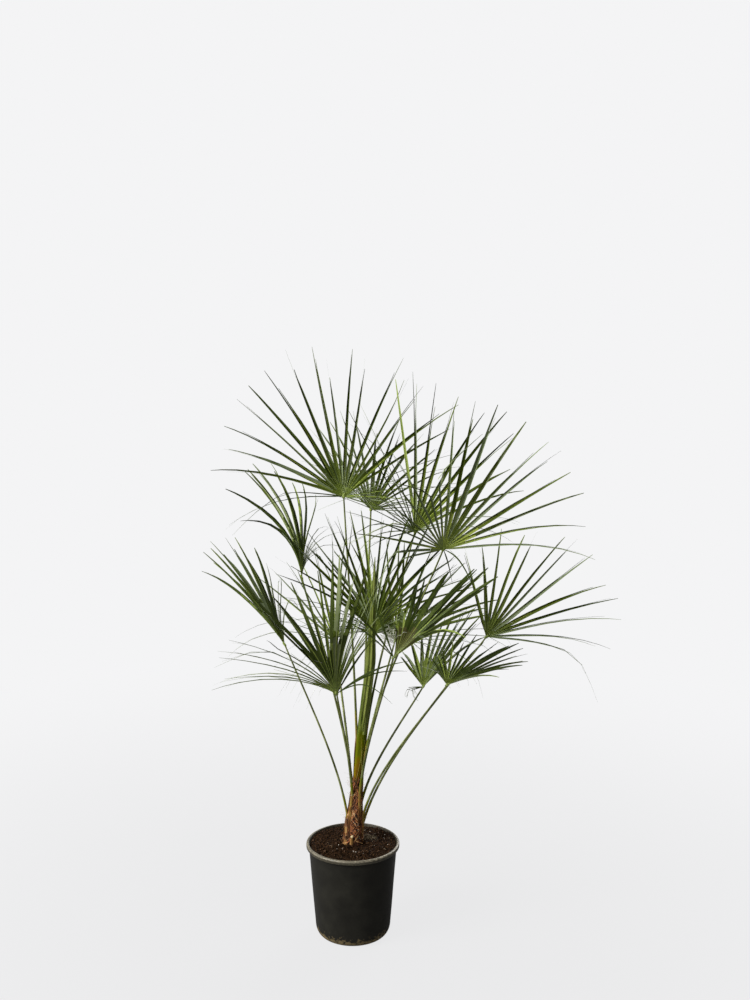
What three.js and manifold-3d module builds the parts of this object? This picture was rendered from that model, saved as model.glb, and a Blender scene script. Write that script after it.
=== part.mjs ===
// Potted European fan palm: a black nursery pot full of soil, a short leaning trunk wrapped in
// fibre, a sheath of green leaf bases with one unopened spear leaf, and fan-shaped fronds on long
// thin stalks. Millimetres, +Z up; the origin is the centre of the pot's flat underside.
import * as THREE from "three";
import { mergeVertices } from "three/addons/utils/BufferGeometryUtils.js";
import Module from "manifold-3d";

const wasm = await Module();
wasm.setup();

// Driving dimensions
const GAP = 0.35; // between pieces that meet
const DEG = Math.PI / 180;

// Pot: a tapered shell with a rounded foot and a rolled rim
const POT_HEIGHT = 243;
const POT_FOOT_RADIUS = 81; // the flat underside
const POT_LOW_RADIUS = 97; // where the rounded foot meets the wall
const POT_FOOT_HEIGHT = 28; // and how high up that is
const POT_HIGH_RADIUS = 113; // where the wall meets the rim
const POT_RIM_RADIUS = 120;
const POT_RIM_DEPTH = 11;
const POT_RIM_ROUND = 4; // the rolled edge's own radius
const POT_WALL = 3;
const POT_SIDES = 40;
const SOIL_LEVEL = 241;
const SOIL_MOUND = 7; // how far the soil rises around the trunk
const MOUND_SPREAD = 18; // how far out from the trunk it starts to fall
const FOOT_ROUND_STEPS = 4;

// Trunk, sheath of leaf bases and spear follow one gently leaning centreline
const AXIS_SIDES = 12;
const TRUNK_TOP = 416;
const SHEATH_TOP = 548;
const SPEAR_TOP = 989;
const LEAN = [
  [SOIL_LEVEL, 0],
  [TRUNK_TOP, 13],
  [SHEATH_TOP, 24],
  [717, 46],
  [SPEAR_TOP, 57],
]; // height, offset towards +X
const TRUNK_RADII = [
  [SOIL_LEVEL, 28],
  [262, 25],
  [300, 22.5],
  [350, 17],
  [TRUNK_TOP, 12.5],
];
const SHEATH_RADII = [
  [TRUNK_TOP, 12],
  [480, 12.5],
  [SHEATH_TOP, 12],
];
const SPEAR_RADII = [
  [SHEATH_TOP, 7.5],
  [660, 9.5],
  [730, 9.5],
  [880, 6],
  [SPEAR_TOP, 0.8],
];

// Cut leaf bases left on the trunk: height, bearing round the trunk, length
const LEAF_BASE_SINK = 2; // how far the foot starts inside the trunk before it is cut clear
const LEAF_BASE_OUT = 3; // distance of its foot from there
const LEAF_BASE_LEAN = 7; // how much further out its tip is
const LEAF_BASE_RINGS = [
  { share: 0, width: 8, thickness: 4 },
  { share: 0.6, width: 6, thickness: 3 },
  { share: 1, width: 2, thickness: 1.2 },
]; // half sizes along it
const LEAF_BASES = [
  { height: 270, bearing: 205, length: 40 },
  { height: 245, bearing: 262, length: 24 },
  { height: 245, bearing: 220, length: 20 },
];

// Stalks: oval, widest at the foot
const STALK_SIDES = 6;
const STALK_STEPS = 8;
const STALK_FOOT = { width: 4.5, thickness: 3.5 }; // half sizes
const STALK_TIP = { width: 2.8, thickness: 2.1 };
const STALK_RISE = 0.55; // how much of the first stretch goes straight up
const STALK_BOW = 0.2; // how far the last stretch bends outwards for it
const STALK_HANDLE = 0.3; // length of the curve's two handles, as a share of the span

// Fans: one rule for all of them
const LEAFLET_PITCH = 8.6; // degrees between leaflets
const BLADE_THICKNESS = 4.2; // a hundredth of the longest leaflet and a little more
const PALMAN_SHARE = 0.22; // the undivided part, as a share of the frond's length
const SIDE_SHORTENING = 0.2; // how much shorter a leaflet is 100 degrees off the middle, at least
const CUP = 0.04; // lift of every leaflet towards the upper side
const ANGLE_JITTER = 2.4; // degrees
const LENGTH_JITTER = 0.06;
const LIFT_JITTER = 0.045;
const UPRIGHT_DROOP = 0.3; // share of its droop that a leaflet keeps when it stands upright
const LEAFLET_STATIONS = [0.48, 0.74]; // along a leaflet, between the palman and the tip
const LEAFLET_WIDTHS = [0.88, 0.6]; // share of its width at the palman
const CLEAR = 0.5; // least distance between a leaflet and anything else
const REACHES = [1, 0.84, 0.68, 0.52]; // a leaflet that would touch is tried shorter, then left out
const BENDS = [0, 0.06, -0.06]; // and tried a little higher or lower first

// Fronds. hub: where the stalk ends and the fan begins. bearing and climb: direction of the middle
// leaflet in plan and above the horizontal. roll: turn of the fan about that leaflet. from, to: the
// angles of its outermost leaflets. fold: how far the sides turn up at 100 degrees. foot and
// footBearing: height and bearing where the stalk leaves the trunk. side: its own side shortening.
// bow: how the whole fan bends between its hub and its tips, as a share of its length.
const FRONDS = [
  { hub: [-24, 130, 1123], bearing: 83, climb: 74, roll: 19, length: 400, from: -104, to: 96,
    fold: 14, droop: 0.05, foot: 520, footBearing: 160, seed: 11 },
  { hub: [46, 230, 1074], bearing: 73, climb: 39, roll: 26, length: 345, from: -80, to: 72,
    fold: 20, droop: 0.05, foot: 500, footBearing: 50, seed: 12 },
  { hub: [160, 105, 1036], bearing: 70, climb: 81, roll: 26, length: 402, from: -76, to: 96,
    fold: 45, droop: 0.05, foot: 520, footBearing: 10, seed: 13 },
  { hub: [223, -70, 1021], bearing: -19, climb: 59, roll: 117, length: 388, from: -50, to: 112,
    fold: 26, droop: 0.05, foot: 455, footBearing: -22, seed: 14 },
  { hub: [54, 32, 784], bearing: 90, climb: 84, roll: 0, length: 338, from: -108, to: 108,
    fold: 38, droop: 0.05, foot: 540, footBearing: 105, seed: 15 },
  { hub: [-132, 100, 915], bearing: 160, climb: 62, roll: 1, length: 345, from: -92, to: 32,
    fold: 14, droop: 0.06, foot: 392, footBearing: 150, seed: 16, side: 0.5, bow: [-0.35, 0, 0] },
  { hub: [-168, -30, 773], bearing: 161, climb: 50, roll: 5, length: 330, from: -60, to: 16,
    fold: 10, droop: 0.04, foot: 318, footBearing: 188, seed: 17, bow: [-0.1, 0, 0] },
  { hub: [-34, -180, 693], bearing: -119, climb: 62, roll: 52, length: 362, from: -46, to: 98,
    fold: 40, droop: 0.06, foot: 372, footBearing: 256, seed: 18 },
  { hub: [101, -170, 779], bearing: -12, climb: 41, roll: 8, length: 316, from: -24, to: 100,
    fold: 30, droop: 0.06, foot: 376, footBearing: 302, seed: 19, side: 0.7 },
  { hub: [182, 80, 630], bearing: 32, climb: 46, roll: -9, length: 262, from: -24, to: 70,
    fold: 22, droop: 0.05, foot: 346, footBearing: 32, seed: 20, side: 0.7 },
  { hub: [237, -40, 672], bearing: 14, climb: 25, roll: 2, length: 222, from: -48, to: 92,
    fold: 30, droop: 0.06, foot: 312, footBearing: -18, seed: 21, side: 0.7 },
  { hub: [341, 40, 774], bearing: -11, climb: 42, roll: 105, length: 338, from: -42, to: 60,
    fold: 20, droop: 0.05, foot: 290, footBearing: 10, seed: 22 },
  { hub: [111, 190, 726], bearing: 73, climb: 41, roll: 24, length: 345, from: -92, to: 92,
    fold: 26, droop: 0.06, foot: 360, footBearing: 70, seed: 23 },
  { hub: [-50, 170, 731], bearing: 113, climb: 39, roll: -34, length: 345, from: -92, to: 52,
    fold: 26, droop: 0.06, foot: 336, footBearing: 112, seed: 24 },
];

const vec = (x, y, z) => new THREE.Vector3(x, y, z);
const UP = vec(0, 0, 1);

// The same numbers for the same seed, each from 0 up to 1
function seeded(seed) {
  let state = seed >>> 0;
  return () => {
    state = (Math.imul(state, 1664525) + 1013904223) >>> 0;
    return state / 4294967296;
  };
}

// Value of a list of [position, value] pairs, straight between its points
function along(pairs, position) {
  const last = pairs.length - 1;
  if (position <= pairs[0][0]) return pairs[0][1];
  for (let i = 0; i < last; i++) {
    const [a, va] = pairs[i];
    const [b, vb] = pairs[i + 1];
    if (position <= b) return va + ((vb - va) * (position - a)) / (b - a);
  }
  return pairs[last][1];
}

const centreAt = (z) => vec(along(LEAN, z), 0, z);

// Points and faces as one indexed geometry
function geometryOf(points, faces) {
  const geometry = new THREE.BufferGeometry().setFromPoints(points);
  geometry.setIndex(faces.flat());
  return geometry;
}

// A closed limb through rings of points, each ring the same number of points and counterclockwise
// when seen from the far end
function skin(rings) {
  const sides = rings[0].length;
  const faces = [];
  rings.slice(1).forEach((_, r) => {
    for (let s = 0; s < sides; s++) {
      const a = r * sides + s;
      const b = r * sides + ((s + 1) % sides);
      faces.push([a, b, b + sides], [a, b + sides, a + sides]);
    }
  });
  const top = (rings.length - 1) * sides;
  for (let s = 1; s < sides - 1; s++) {
    faces.push([0, s + 1, s], [top, top + s, top + s + 1]);
  }
  return geometryOf(rings.flat(), faces);
}

// A level ring round the leaning centreline
function levelRing(z, radius, sides) {
  const centre = centreAt(z);
  return Array.from({ length: sides }, (_, s) => {
    const turn = (2 * Math.PI * s) / sides;
    return vec(centre.x + radius * Math.cos(turn), radius * Math.sin(turn), z);
  });
}

// An upright piece of the plant's axis, from its table of radii, grown all round by extra
function axisPiece(radii, extra, sides) {
  const last = radii.length - 1;
  const rings = radii.map(([z, radius], i) => {
    const end = i === 0 ? -extra : i === last ? extra - GAP : 0;
    return levelRing(z + GAP + end, radius + extra, sides);
  });
  return skin(rings);
}

// A mesh geometry as a manifold-3d solid
function solidOf(geometry) {
  const bare = geometry.clone();
  bare.deleteAttribute("normal");
  bare.deleteAttribute("uv");
  const merged = mergeVertices(bare, 1e-3);
  return new wasm.Manifold(
    new wasm.Mesh({
      numProp: 3,
      vertProperties: merged.attributes.position.array,
      triVerts: new Uint32Array(merged.index.array),
    }),
  );
}

// A manifold-3d solid back as a geometry
function geometryFrom(solid) {
  const mesh = solid.getMesh();
  const geometry = new THREE.BufferGeometry();
  geometry.setAttribute("position", new THREE.BufferAttribute(mesh.vertProperties, mesh.numProp));
  geometry.setIndex(new THREE.BufferAttribute(mesh.triVerts, 1));
  return geometry;
}

// Pot: the profile turned round the axis, from the underside out, up, over the rim and down inside
function potGeometry() {
  const rimLow = POT_HEIGHT - POT_RIM_DEPTH;
  const profile = [
    [0, 0],
    ...footRound(0, 0),
    [POT_HIGH_RADIUS, rimLow],
    [POT_RIM_RADIUS - POT_RIM_ROUND / 2, rimLow],
    [POT_RIM_RADIUS, rimLow + POT_RIM_ROUND],
    [POT_RIM_RADIUS, POT_HEIGHT - POT_RIM_ROUND],
    [POT_RIM_RADIUS - POT_RIM_ROUND, POT_HEIGHT],
    [POT_HIGH_RADIUS, POT_HEIGHT],
    [POT_HIGH_RADIUS - POT_WALL, rimLow],
    ...footRound(POT_WALL, POT_WALL).reverse(),
    [0, POT_WALL],
  ];
  return turned(profile);
}

// The rounded foot as a quarter of an ellipse, set in from the wall and up from the underside
function footRound(inset, raise) {
  const wide = POT_LOW_RADIUS - POT_FOOT_RADIUS;
  const high = POT_FOOT_HEIGHT - raise;
  return Array.from({ length: FOOT_ROUND_STEPS + 1 }, (_, i) => {
    const turn = ((Math.PI / 2) * i) / FOOT_ROUND_STEPS;
    return [
      POT_FOOT_RADIUS - inset + wide * Math.sin(turn),
      raise + high * (1 - Math.cos(turn)),
    ];
  });
}

// Soil: fills the pot to just under the rim, a little higher in the middle
function soilGeometry() {
  const wall = POT_WALL + GAP;
  const edge = SOIL_LEVEL - SOIL_MOUND;
  const share = (edge - POT_FOOT_HEIGHT) / (POT_HEIGHT - POT_RIM_DEPTH - POT_FOOT_HEIGHT);
  const reach = POT_LOW_RADIUS + (POT_HIGH_RADIUS - POT_LOW_RADIUS) * share - wall;
  const profile = [
    [0, wall],
    ...footRound(wall, wall),
    [reach, edge],
    [TRUNK_RADII[0][1] + MOUND_SPREAD, SOIL_LEVEL],
    [0, SOIL_LEVEL],
  ];
  return turned(profile);
}

// A profile of [radius, height] pairs turned round Z
function turned(profile) {
  const points = profile.map(([radius, height]) => new THREE.Vector2(radius, height));
  const geometry = new THREE.LatheGeometry(points, POT_SIDES);
  geometry.rotateX(Math.PI / 2);
  return geometry;
}

// A cut leaf base: a short flattened wedge that leans out from the trunk
function leafBaseGeometry({ height, bearing, length }) {
  const out = vec(Math.cos(bearing * DEG), Math.sin(bearing * DEG), 0);
  const side = vec(-out.y, out.x, 0);
  const start = along(TRUNK_RADII, height) - LEAF_BASE_SINK;
  const foot = centreAt(height).addScaledVector(out, start);
  const ring = ({ share, width, thickness }) => {
    const lean = LEAF_BASE_OUT + LEAF_BASE_LEAN * share;
    const centre = foot.clone().addScaledVector(UP, length * share).addScaledVector(out, lean);
    const corner = (w, t) => centre.clone().addScaledVector(side, w).addScaledVector(out, t);
    return [corner(-width, 0), corner(0, thickness), corner(width, 0), corner(0, -thickness)];
  };
  return skin(LEAF_BASE_RINGS.map(ring));
}

// Axes of a frond's fan: rib along the middle leaflet, side to its left, normal out of its upper face
function fanAxes({ bearing, climb, roll }) {
  const b = bearing * DEG;
  const c = climb * DEG;
  const r = roll * DEG;
  const rib = vec(Math.cos(b) * Math.cos(c), Math.sin(b) * Math.cos(c), Math.sin(c));
  const level = vec(-Math.cos(b) * Math.sin(c), -Math.sin(b) * Math.sin(c), Math.cos(c));
  const across = rib.clone().cross(level);
  const normal = level.multiplyScalar(Math.cos(r)).addScaledVector(across, Math.sin(r));
  const side = normal.clone().cross(rib);
  return { rib, side, normal };
}

// Direction of the leaflet at an angle from the rib: round the fan, its sides folded up
function leafletDirection(frond, axes, angle, lift) {
  const turn = angle * DEG;
  const folded = (frond.fold * DEG * Math.abs(angle)) / 100;
  const sine = Math.sin(Math.abs(turn));
  return axes.rib
    .clone()
    .multiplyScalar(Math.cos(turn))
    .addScaledVector(axes.side, Math.sign(turn) * sine * Math.cos(folded))
    .addScaledVector(axes.normal, sine * Math.sin(folded) + CUP + lift)
    .normalize();
}

// How far the fan's bow moves a point at a distance from the hub
function bowAt(frond, reach) {
  return vec(...(frond.bow ?? [0, 0, 0])).multiplyScalar(reach * (reach / frond.length - 1));
}

// The named sizes of each leaflet of a frond, drawn from its seed
function leafletsOf(frond) {
  const draw = seeded(frond.seed);
  const shortening = frond.side ?? SIDE_SHORTENING;
  const count = Math.round((frond.to - frond.from) / LEAFLET_PITCH) + 1;
  const pitch = (frond.to - frond.from) / (count - 1);
  return Array.from({ length: count }, (_, i) => {
    const angle = frond.from + pitch * i + (draw() - 0.5) * 2 * ANGLE_JITTER;
    const side = 1 - shortening * (angle / 100) ** 2;
    const length = frond.length * side * (1 + (draw() - 0.5) * 2 * LENGTH_JITTER);
    const droop = frond.droop * (0.5 + draw());
    const lift = (draw() - 0.5) * 2 * LIFT_JITTER;
    return { angle, length, droop, lift, pitch };
  });
}

// Frame of a leaflet at a share of its length: its centre, its side and its normal
function leafletFrame(frond, axes, leaflet, share, bend) {
  const lift = leaflet.lift + bend;
  const direction = leafletDirection(frond, axes, leaflet.angle, lift);
  const ahead = leafletDirection(frond, axes, leaflet.angle + 1, lift);
  const side = ahead.sub(direction).normalize();
  const normal = direction.clone().cross(side).normalize();
  const level = Math.sqrt(Math.max(0, 1 - direction.z ** 2));
  const sag = leaflet.droop * leaflet.length * share ** 3 * (UPRIGHT_DROOP + level);
  const centre = vec(...frond.hub)
    .addScaledVector(direction, leaflet.length * share)
    .add(bowAt(frond, leaflet.length * share))
    .addScaledVector(UP, -sag);
  return { centre, side, normal };
}

// The notch between two leaflets, or the outer edge: its upper and lower points
function notchPoints(frond, axes, angle) {
  const direction = leafletDirection(frond, axes, angle, 0);
  const ahead = leafletDirection(frond, axes, angle + 1, 0);
  const normal = direction.clone().cross(ahead).normalize();
  const radius = frond.length * PALMAN_SHARE;
  const centre = vec(...frond.hub).addScaledVector(direction, radius).add(bowAt(frond, radius));
  return {
    upper: centre.clone().addScaledVector(normal, BLADE_THICKNESS / 2),
    lower: centre.clone().addScaledVector(normal, -BLADE_THICKNESS / 2),
  };
}

// Every notch angle of a fan, one more than its leaflets
function notchAngles(leaflets) {
  const half = leaflets[0].pitch / 2;
  const inner = leaflets.slice(1).map((leaflet, i) => (leaflet.angle + leaflets[i].angle) / 2);
  return [leaflets[0].angle - half, ...inner, leaflets[leaflets.length - 1].angle + half];
}

// The free part of a leaflet: a keeled blade from the palman's edge to its tip. Points 0 to 3 are
// the notch points, left upper, right upper, right lower, left lower.
function bladePart(frond, axes, leaflet, left, right, reach, bend) {
  const points = [left.upper, right.upper, right.lower, left.lower];
  const width = left.upper.distanceTo(right.upper) / 2;
  const faces = [];
  LEAFLET_STATIONS.forEach((station, i) => {
    const share = PALMAN_SHARE + (station - PALMAN_SHARE) * reach;
    const { centre, side, normal } = leafletFrame(frond, axes, leaflet, share, bend);
    const half = width * LEAFLET_WIDTHS[i];
    points.push(
      centre.clone().addScaledVector(side, -half),
      centre.clone().addScaledVector(side, half),
      centre.clone().addScaledVector(normal, -BLADE_THICKNESS),
    );
  });
  const end = PALMAN_SHARE + (1 - PALMAN_SHARE) * reach;
  points.push(leafletFrame(frond, axes, leaflet, end, bend).centre);
  faces.push([0, 5, 1], [0, 4, 5]);
  faces.push([1, 6, 2], [1, 5, 6]);
  faces.push([2, 6, 3]);
  faces.push([3, 4, 0], [3, 6, 4]);
  for (let s = 0; s < 3; s++) {
    const a = 4 + s;
    const b = 4 + ((s + 1) % 3);
    faces.push([a, b + 3, b], [a, a + 3, b + 3], [a + 3, 10, b + 3]);
  }
  return { points, faces };
}

const BLADE_END = [
  [0, 1, 2],
  [0, 2, 3],
];

// Does a solid keep its distance from every other one?
function isClear(solid, others) {
  const box = solid.boundingBox();
  return others.every((other) => {
    const far = [0, 1, 2].some(
      (k) => other.box.min[k] - box.max[k] > CLEAR || box.min[k] - other.box.max[k] > CLEAR,
    );
    return far || solid.minGap(other.solid, CLEAR * 2) >= CLEAR;
  });
}

const placed = (name, solid) => ({ name, solid, box: solid.boundingBox() });

// The undivided middle of a fan: a thin pleated wedge from the hub to the notches. Points 0 and 1
// are the hub's upper and lower points.
function palmanPart(frond, axes, notches) {
  const hub = vec(...frond.hub);
  const points = [
    hub.clone().addScaledVector(axes.normal, BLADE_THICKNESS / 2),
    hub.clone().addScaledVector(axes.normal, -BLADE_THICKNESS / 2),
  ];
  notches.forEach((notch) => points.push(notch.upper, notch.lower));
  const faces = [];
  const last = notches.length - 1;
  for (let i = 0; i < last; i++) {
    const a = 2 + 2 * i;
    faces.push([0, a, a + 2], [1, a + 3, a + 1]);
  }
  faces.push([0, 1, 3], [0, 3, 2]);
  const z = 2 + 2 * last;
  faces.push([0, z, z + 1], [0, z + 1, 1]);
  return { points, faces };
}

// One fan as a single closed blade, its leaflets cut apart down to the palman
function fanGeometry(fan) {
  const { points, faces } = palmanPart(fan.frond, fan.axes, fan.notches);
  const allPoints = [...points];
  const allFaces = [...faces];
  fan.leaflets.forEach((leaflet, i) => {
    const a = 2 + 2 * i;
    const rim = [a, a + 2, a + 3, a + 1];
    if (!leaflet.blade) {
      allFaces.push([rim[0], rim[2], rim[1]], [rim[0], rim[3], rim[2]]);
      return;
    }
    const start = allPoints.length - 4;
    allPoints.push(...leaflet.blade.points.slice(4));
    const index = (k) => (k < 4 ? rim[k] : start + k);
    leaflet.blade.faces.forEach((face) => allFaces.push(face.map(index)));
  });
  return geometryOf(allPoints, allFaces);
}

// A fan's stalk: an oval limb that leaves the trunk steeply, bows out and stops short of the hub
function stalkGeometry(frond, setBack) {
  const bearing = frond.footBearing * DEG;
  const out = vec(Math.cos(bearing), Math.sin(bearing), 0);
  const radii = frond.foot < TRUNK_TOP ? TRUNK_RADII : SHEATH_RADII;
  const foot = centreAt(frond.foot).addScaledVector(out, along(radii, frond.foot));
  const hub = vec(...frond.hub);
  const span = hub.distanceTo(foot);
  const chord = hub.clone().sub(foot).normalize();
  const rise = chord.clone().lerp(UP, STALK_RISE).normalize();
  const arrive = chord.clone().lerp(rise, -STALK_BOW).normalize();
  const end = hub.clone().addScaledVector(arrive, -setBack);
  const curve = new THREE.CubicBezierCurve3(
    foot,
    foot.clone().addScaledVector(rise, span * STALK_HANDLE),
    end.clone().addScaledVector(arrive, -span * STALK_HANDLE),
    end,
  );
  const rings = Array.from({ length: STALK_STEPS + 1 }, (_, i) => {
    const share = i / STALK_STEPS;
    const centre = curve.getPoint(share);
    const tangent = curve.getTangent(share);
    const side = tangent.clone().cross(out).normalize();
    const back = side.clone().cross(tangent).normalize();
    const width = STALK_FOOT.width + (STALK_TIP.width - STALK_FOOT.width) * share;
    const thick = STALK_FOOT.thickness + (STALK_TIP.thickness - STALK_FOOT.thickness) * share;
    return Array.from({ length: STALK_SIDES }, (_, s) => {
      const turn = (2 * Math.PI * s) / STALK_SIDES;
      return centre
        .clone()
        .addScaledVector(side, width * Math.cos(turn))
        .addScaledVector(back, -thick * Math.sin(turn));
    });
  });
  return skin(rings);
}

// The longest stalk whose end keeps a gap to the fan's undivided middle, found by halving the step
function fittedStalk(frond, palman) {
  let setBack = BLADE_THICKNESS;
  let solid = null;
  for (let step = BLADE_THICKNESS; step > 0.01; step /= 2) {
    const tried = solidOf(stalkGeometry(frond, setBack));
    const isFree = tried.minGap(palman, 2 * GAP) >= GAP;
    if (isFree) solid = tried;
    setBack += isFree ? -step : step;
  }
  return cutClear(solid);
}

// Materials by part
const material = (color, roughness, metalness = 0) =>
  new THREE.MeshStandardMaterial({ color, roughness, metalness });
const POT_PLASTIC = material(0x1c1d1a, 0.55);
const SOIL = material(0x2a2018, 0.95);
const FIBRE = material(0x5d3b22, 0.95);
const SHEATH = material(0x5f6a24, 0.6);
const SPEAR = material(0x66703a, 0.6);
const CUT_BASE = material(0x9a7a4c, 0.85);
const STALK = material(0x56682f, 0.55);
const BLADE = material(0x3c5220, 0.5);

const palm = new THREE.Group();

function add(name, geometry, finish) {
  const mesh = new THREE.Mesh(geometry, finish);
  mesh.name = name;
  palm.add(mesh);
}

const number = (i) => String(i + 1).padStart(2, "0");

// The axis of the plant, and the space round it that the stalks are cut clear of
const potSolid = solidOf(potGeometry());
const soilSolid = solidOf(soilGeometry());
const axisTables = [TRUNK_RADII, SHEATH_RADII, SPEAR_RADII];
const axisSolids = axisTables.map((radii) => solidOf(axisPiece(radii, 0, AXIS_SIDES)));
const axisSpaces = axisTables.map((radii) => solidOf(axisPiece(radii, GAP, AXIS_SIDES)));
add("pot", geometryFrom(potSolid), POT_PLASTIC);
add("soil", geometryFrom(soilSolid), SOIL);
add("trunk", geometryFrom(axisSolids[0]), FIBRE);
add("sheath", geometryFrom(axisSolids[1]), SHEATH);
add("spear", geometryFrom(axisSolids[2]), SPEAR);

const cutClear = (solid) => axisSpaces.reduce((rest, space) => rest.subtract(space), solid);

const solids = [placed("pot", potSolid), placed("soil", soilSolid)];
["trunk", "sheath", "spear"].forEach((name, i) => solids.push(placed(name, axisSolids[i])));

LEAF_BASES.forEach((base, i) => {
  const solid = cutClear(solidOf(leafBaseGeometry(base)));
  solids.push(placed("leaf_base_" + number(i), solid));
  add("leaf_base_" + number(i), geometryFrom(solid), CUT_BASE);
});

// Stalks and palmans first, so that every leaflet is then tried against all of them
const fans = FRONDS.map((frond, i) => {
  const axes = fanAxes(frond);
  const leaflets = leafletsOf(frond);
  const notches = notchAngles(leaflets).map((angle) => notchPoints(frond, axes, angle));
  const fan = { name: "frond_" + number(i), frond, axes, leaflets, notches };
  const palman = solidOf(fanGeometry(fan));
  const stalk = fittedStalk(frond, palman);
  add("stalk_" + number(i), geometryFrom(stalk), STALK);
  solids.push(placed("stalk_" + number(i), stalk), placed(fan.name, palman));
  return fan;
});

// Then the leaflets, one after another, each where it keeps clear of all that is there
fans.forEach((fan) => {
  const others = solids.filter((other) => other.name !== fan.name);
  const own = [];
  fan.leaflets.forEach((leaflet, i) => {
    for (const reach of REACHES) {
      for (const bend of BENDS) {
        const [left, right] = [fan.notches[i], fan.notches[i + 1]];
        const blade = bladePart(fan.frond, fan.axes, leaflet, left, right, reach, bend);
        const solid = solidOf(geometryOf(blade.points, [...blade.faces, ...BLADE_END]));
        if (isClear(solid, others)) {
          leaflet.blade = blade;
          own.push(placed(fan.name, solid));
          return;
        }
      }
    }
  });
  solids.push(...own);
  add(fan.name, fanGeometry(fan), BLADE);
});

export default palm;
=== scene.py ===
"""Looks of a potted European fan palm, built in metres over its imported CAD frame.

A black nursery pot holds dark soil and a short leaning trunk wrapped in brown fibre. A green
sheath of leaf bases stands on the trunk and carries the unopened spear leaf. Fourteen fans of
folded leaflets grow from the trunk and the sheath on thin spined stalks.
"""

import logging
import math
from dataclasses import dataclass, replace
from enum import Enum

import bpy
import numpy as np
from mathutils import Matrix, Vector
from numpy.random import Generator, default_rng


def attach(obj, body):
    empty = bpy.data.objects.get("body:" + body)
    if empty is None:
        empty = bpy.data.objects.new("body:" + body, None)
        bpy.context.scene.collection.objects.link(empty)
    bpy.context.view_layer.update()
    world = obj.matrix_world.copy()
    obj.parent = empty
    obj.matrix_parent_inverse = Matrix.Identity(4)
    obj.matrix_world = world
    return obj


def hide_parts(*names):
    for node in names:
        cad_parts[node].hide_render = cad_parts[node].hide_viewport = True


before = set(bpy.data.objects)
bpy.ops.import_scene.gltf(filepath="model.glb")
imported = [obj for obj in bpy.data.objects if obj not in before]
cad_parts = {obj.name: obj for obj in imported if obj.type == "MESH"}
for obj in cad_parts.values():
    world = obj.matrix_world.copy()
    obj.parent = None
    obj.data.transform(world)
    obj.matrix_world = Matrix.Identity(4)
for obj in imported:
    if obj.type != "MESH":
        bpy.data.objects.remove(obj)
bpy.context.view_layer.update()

Array = np.ndarray
Socket = bpy.types.NodeSocket
Span = tuple[float, float]
Point = tuple[float, float, float]
Rows = tuple[Span, ...]
Layers = tuple[tuple[float, float, int], ...]

LOG = logging.getLogger("fan_palm")
MM = 0.001
BODY = "root"
UP = np.array([0.0, 0.0, 1.0])


# Numbers and noise


def paint(code: str) -> tuple[float, float, float, float]:
    """Turns a web colour into linear light.

    The rule for each channel c is c / 12.92 up to 0.04045, else ((c + 0.055) / 1.055) ** 2.4.

    Args:
        code: Six hexadecimal digits after a hash sign.

    Returns:
        Red, green, blue and an alpha of 1.
    """
    channels = [int(code[i : i + 2], 16) / 255 for i in (1, 3, 5)]
    red, green, blue = (c / 12.92 if c <= 0.04045 else ((c + 0.055) / 1.055) ** 2.4 for c in channels)
    return red, green, blue, 1.0


def unit(vectors: Array) -> Array:
    """Scales each vector along the last axis to length 1."""
    return vectors / np.linalg.norm(vectors, axis=-1, keepdims=True)


def smooth(share: Array) -> Array:
    """Eases a share from 0 to 1 by 3t² - 2t³, clipped at both ends."""
    t = np.clip(share, 0.0, 1.0)
    return t * t * (3.0 - 2.0 * t)


def shares(count: int) -> Array:
    """Even shares from 0 to 1, both ends among them."""
    return np.linspace(0.0, 1.0, count)


def circle(sides: int) -> Array:
    """Even angles round a circle in radians, from 0 up to the full turn but without it."""
    return 2.0 * np.pi * np.arange(sides) / sides


def table(pairs: Rows, place: Array | float) -> Array:
    """Reads a table of (place, value) pairs at each place, straight between its rows."""
    places, values = zip(*pairs)
    return np.interp(place, places, values)


def noise(points: Array, cells: float, seed: int) -> Array:
    """Smooth lattice noise.

    Random values stand on a cubic lattice, and a point takes the mean of its cell's eight
    corners, each weighted by the eased distances to it along the three axes.

    Args:
        points: Places in metres, with x, y, z along the last axis.
        cells: Lattice cells in a metre.
        seed: Seed of the lattice values.

    Returns:
        One value from -1 to 1 for each point.
    """
    lattice = default_rng(seed).uniform(-1.0, 1.0, (32, 32, 32))
    scaled = points * cells
    cell = np.floor(scaled).astype(int)
    part = smooth(scaled - cell)
    total = np.zeros(points.shape[:-1])
    for corner in range(8):
        step = np.array([corner & 1, (corner >> 1) & 1, (corner >> 2) & 1])
        weight = np.prod(np.where(step == 1, part, 1.0 - part), axis=-1)
        x, y, z = np.moveaxis((cell + step) % 32, -1, 0)
        total += weight * lattice[x, y, z]
    return total


def layered(points: Array, layers: Layers) -> Array:
    """Adds up layers of noise, each given by its height, its cells in a metre and its seed."""
    return sum(height * noise(points, cells, seed) for height, cells, seed in layers)


class Draws:
    """The part's seeded rule: state = state · 1664525 + 1013904223 modulo 2³², value = state / 2³²."""

    def __init__(self, seed: int) -> None:
        """Starts the rule at a seed."""
        self.state = seed

    def take(self, rows: int, columns: int) -> Array:
        """Takes the next values as an array, filled row by row.

        Args:
            rows: Rows of the array.
            columns: Its columns.

        Returns:
            Values from 0 to 1, (rows, columns).
        """
        values = []
        for _ in range(rows * columns):
            self.state = (self.state * 1664525 + 1013904223) & 0xFFFFFFFF
            values.append(self.state / 4294967296)
        return np.array(values).reshape(rows, columns)


# Surfaces


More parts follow.
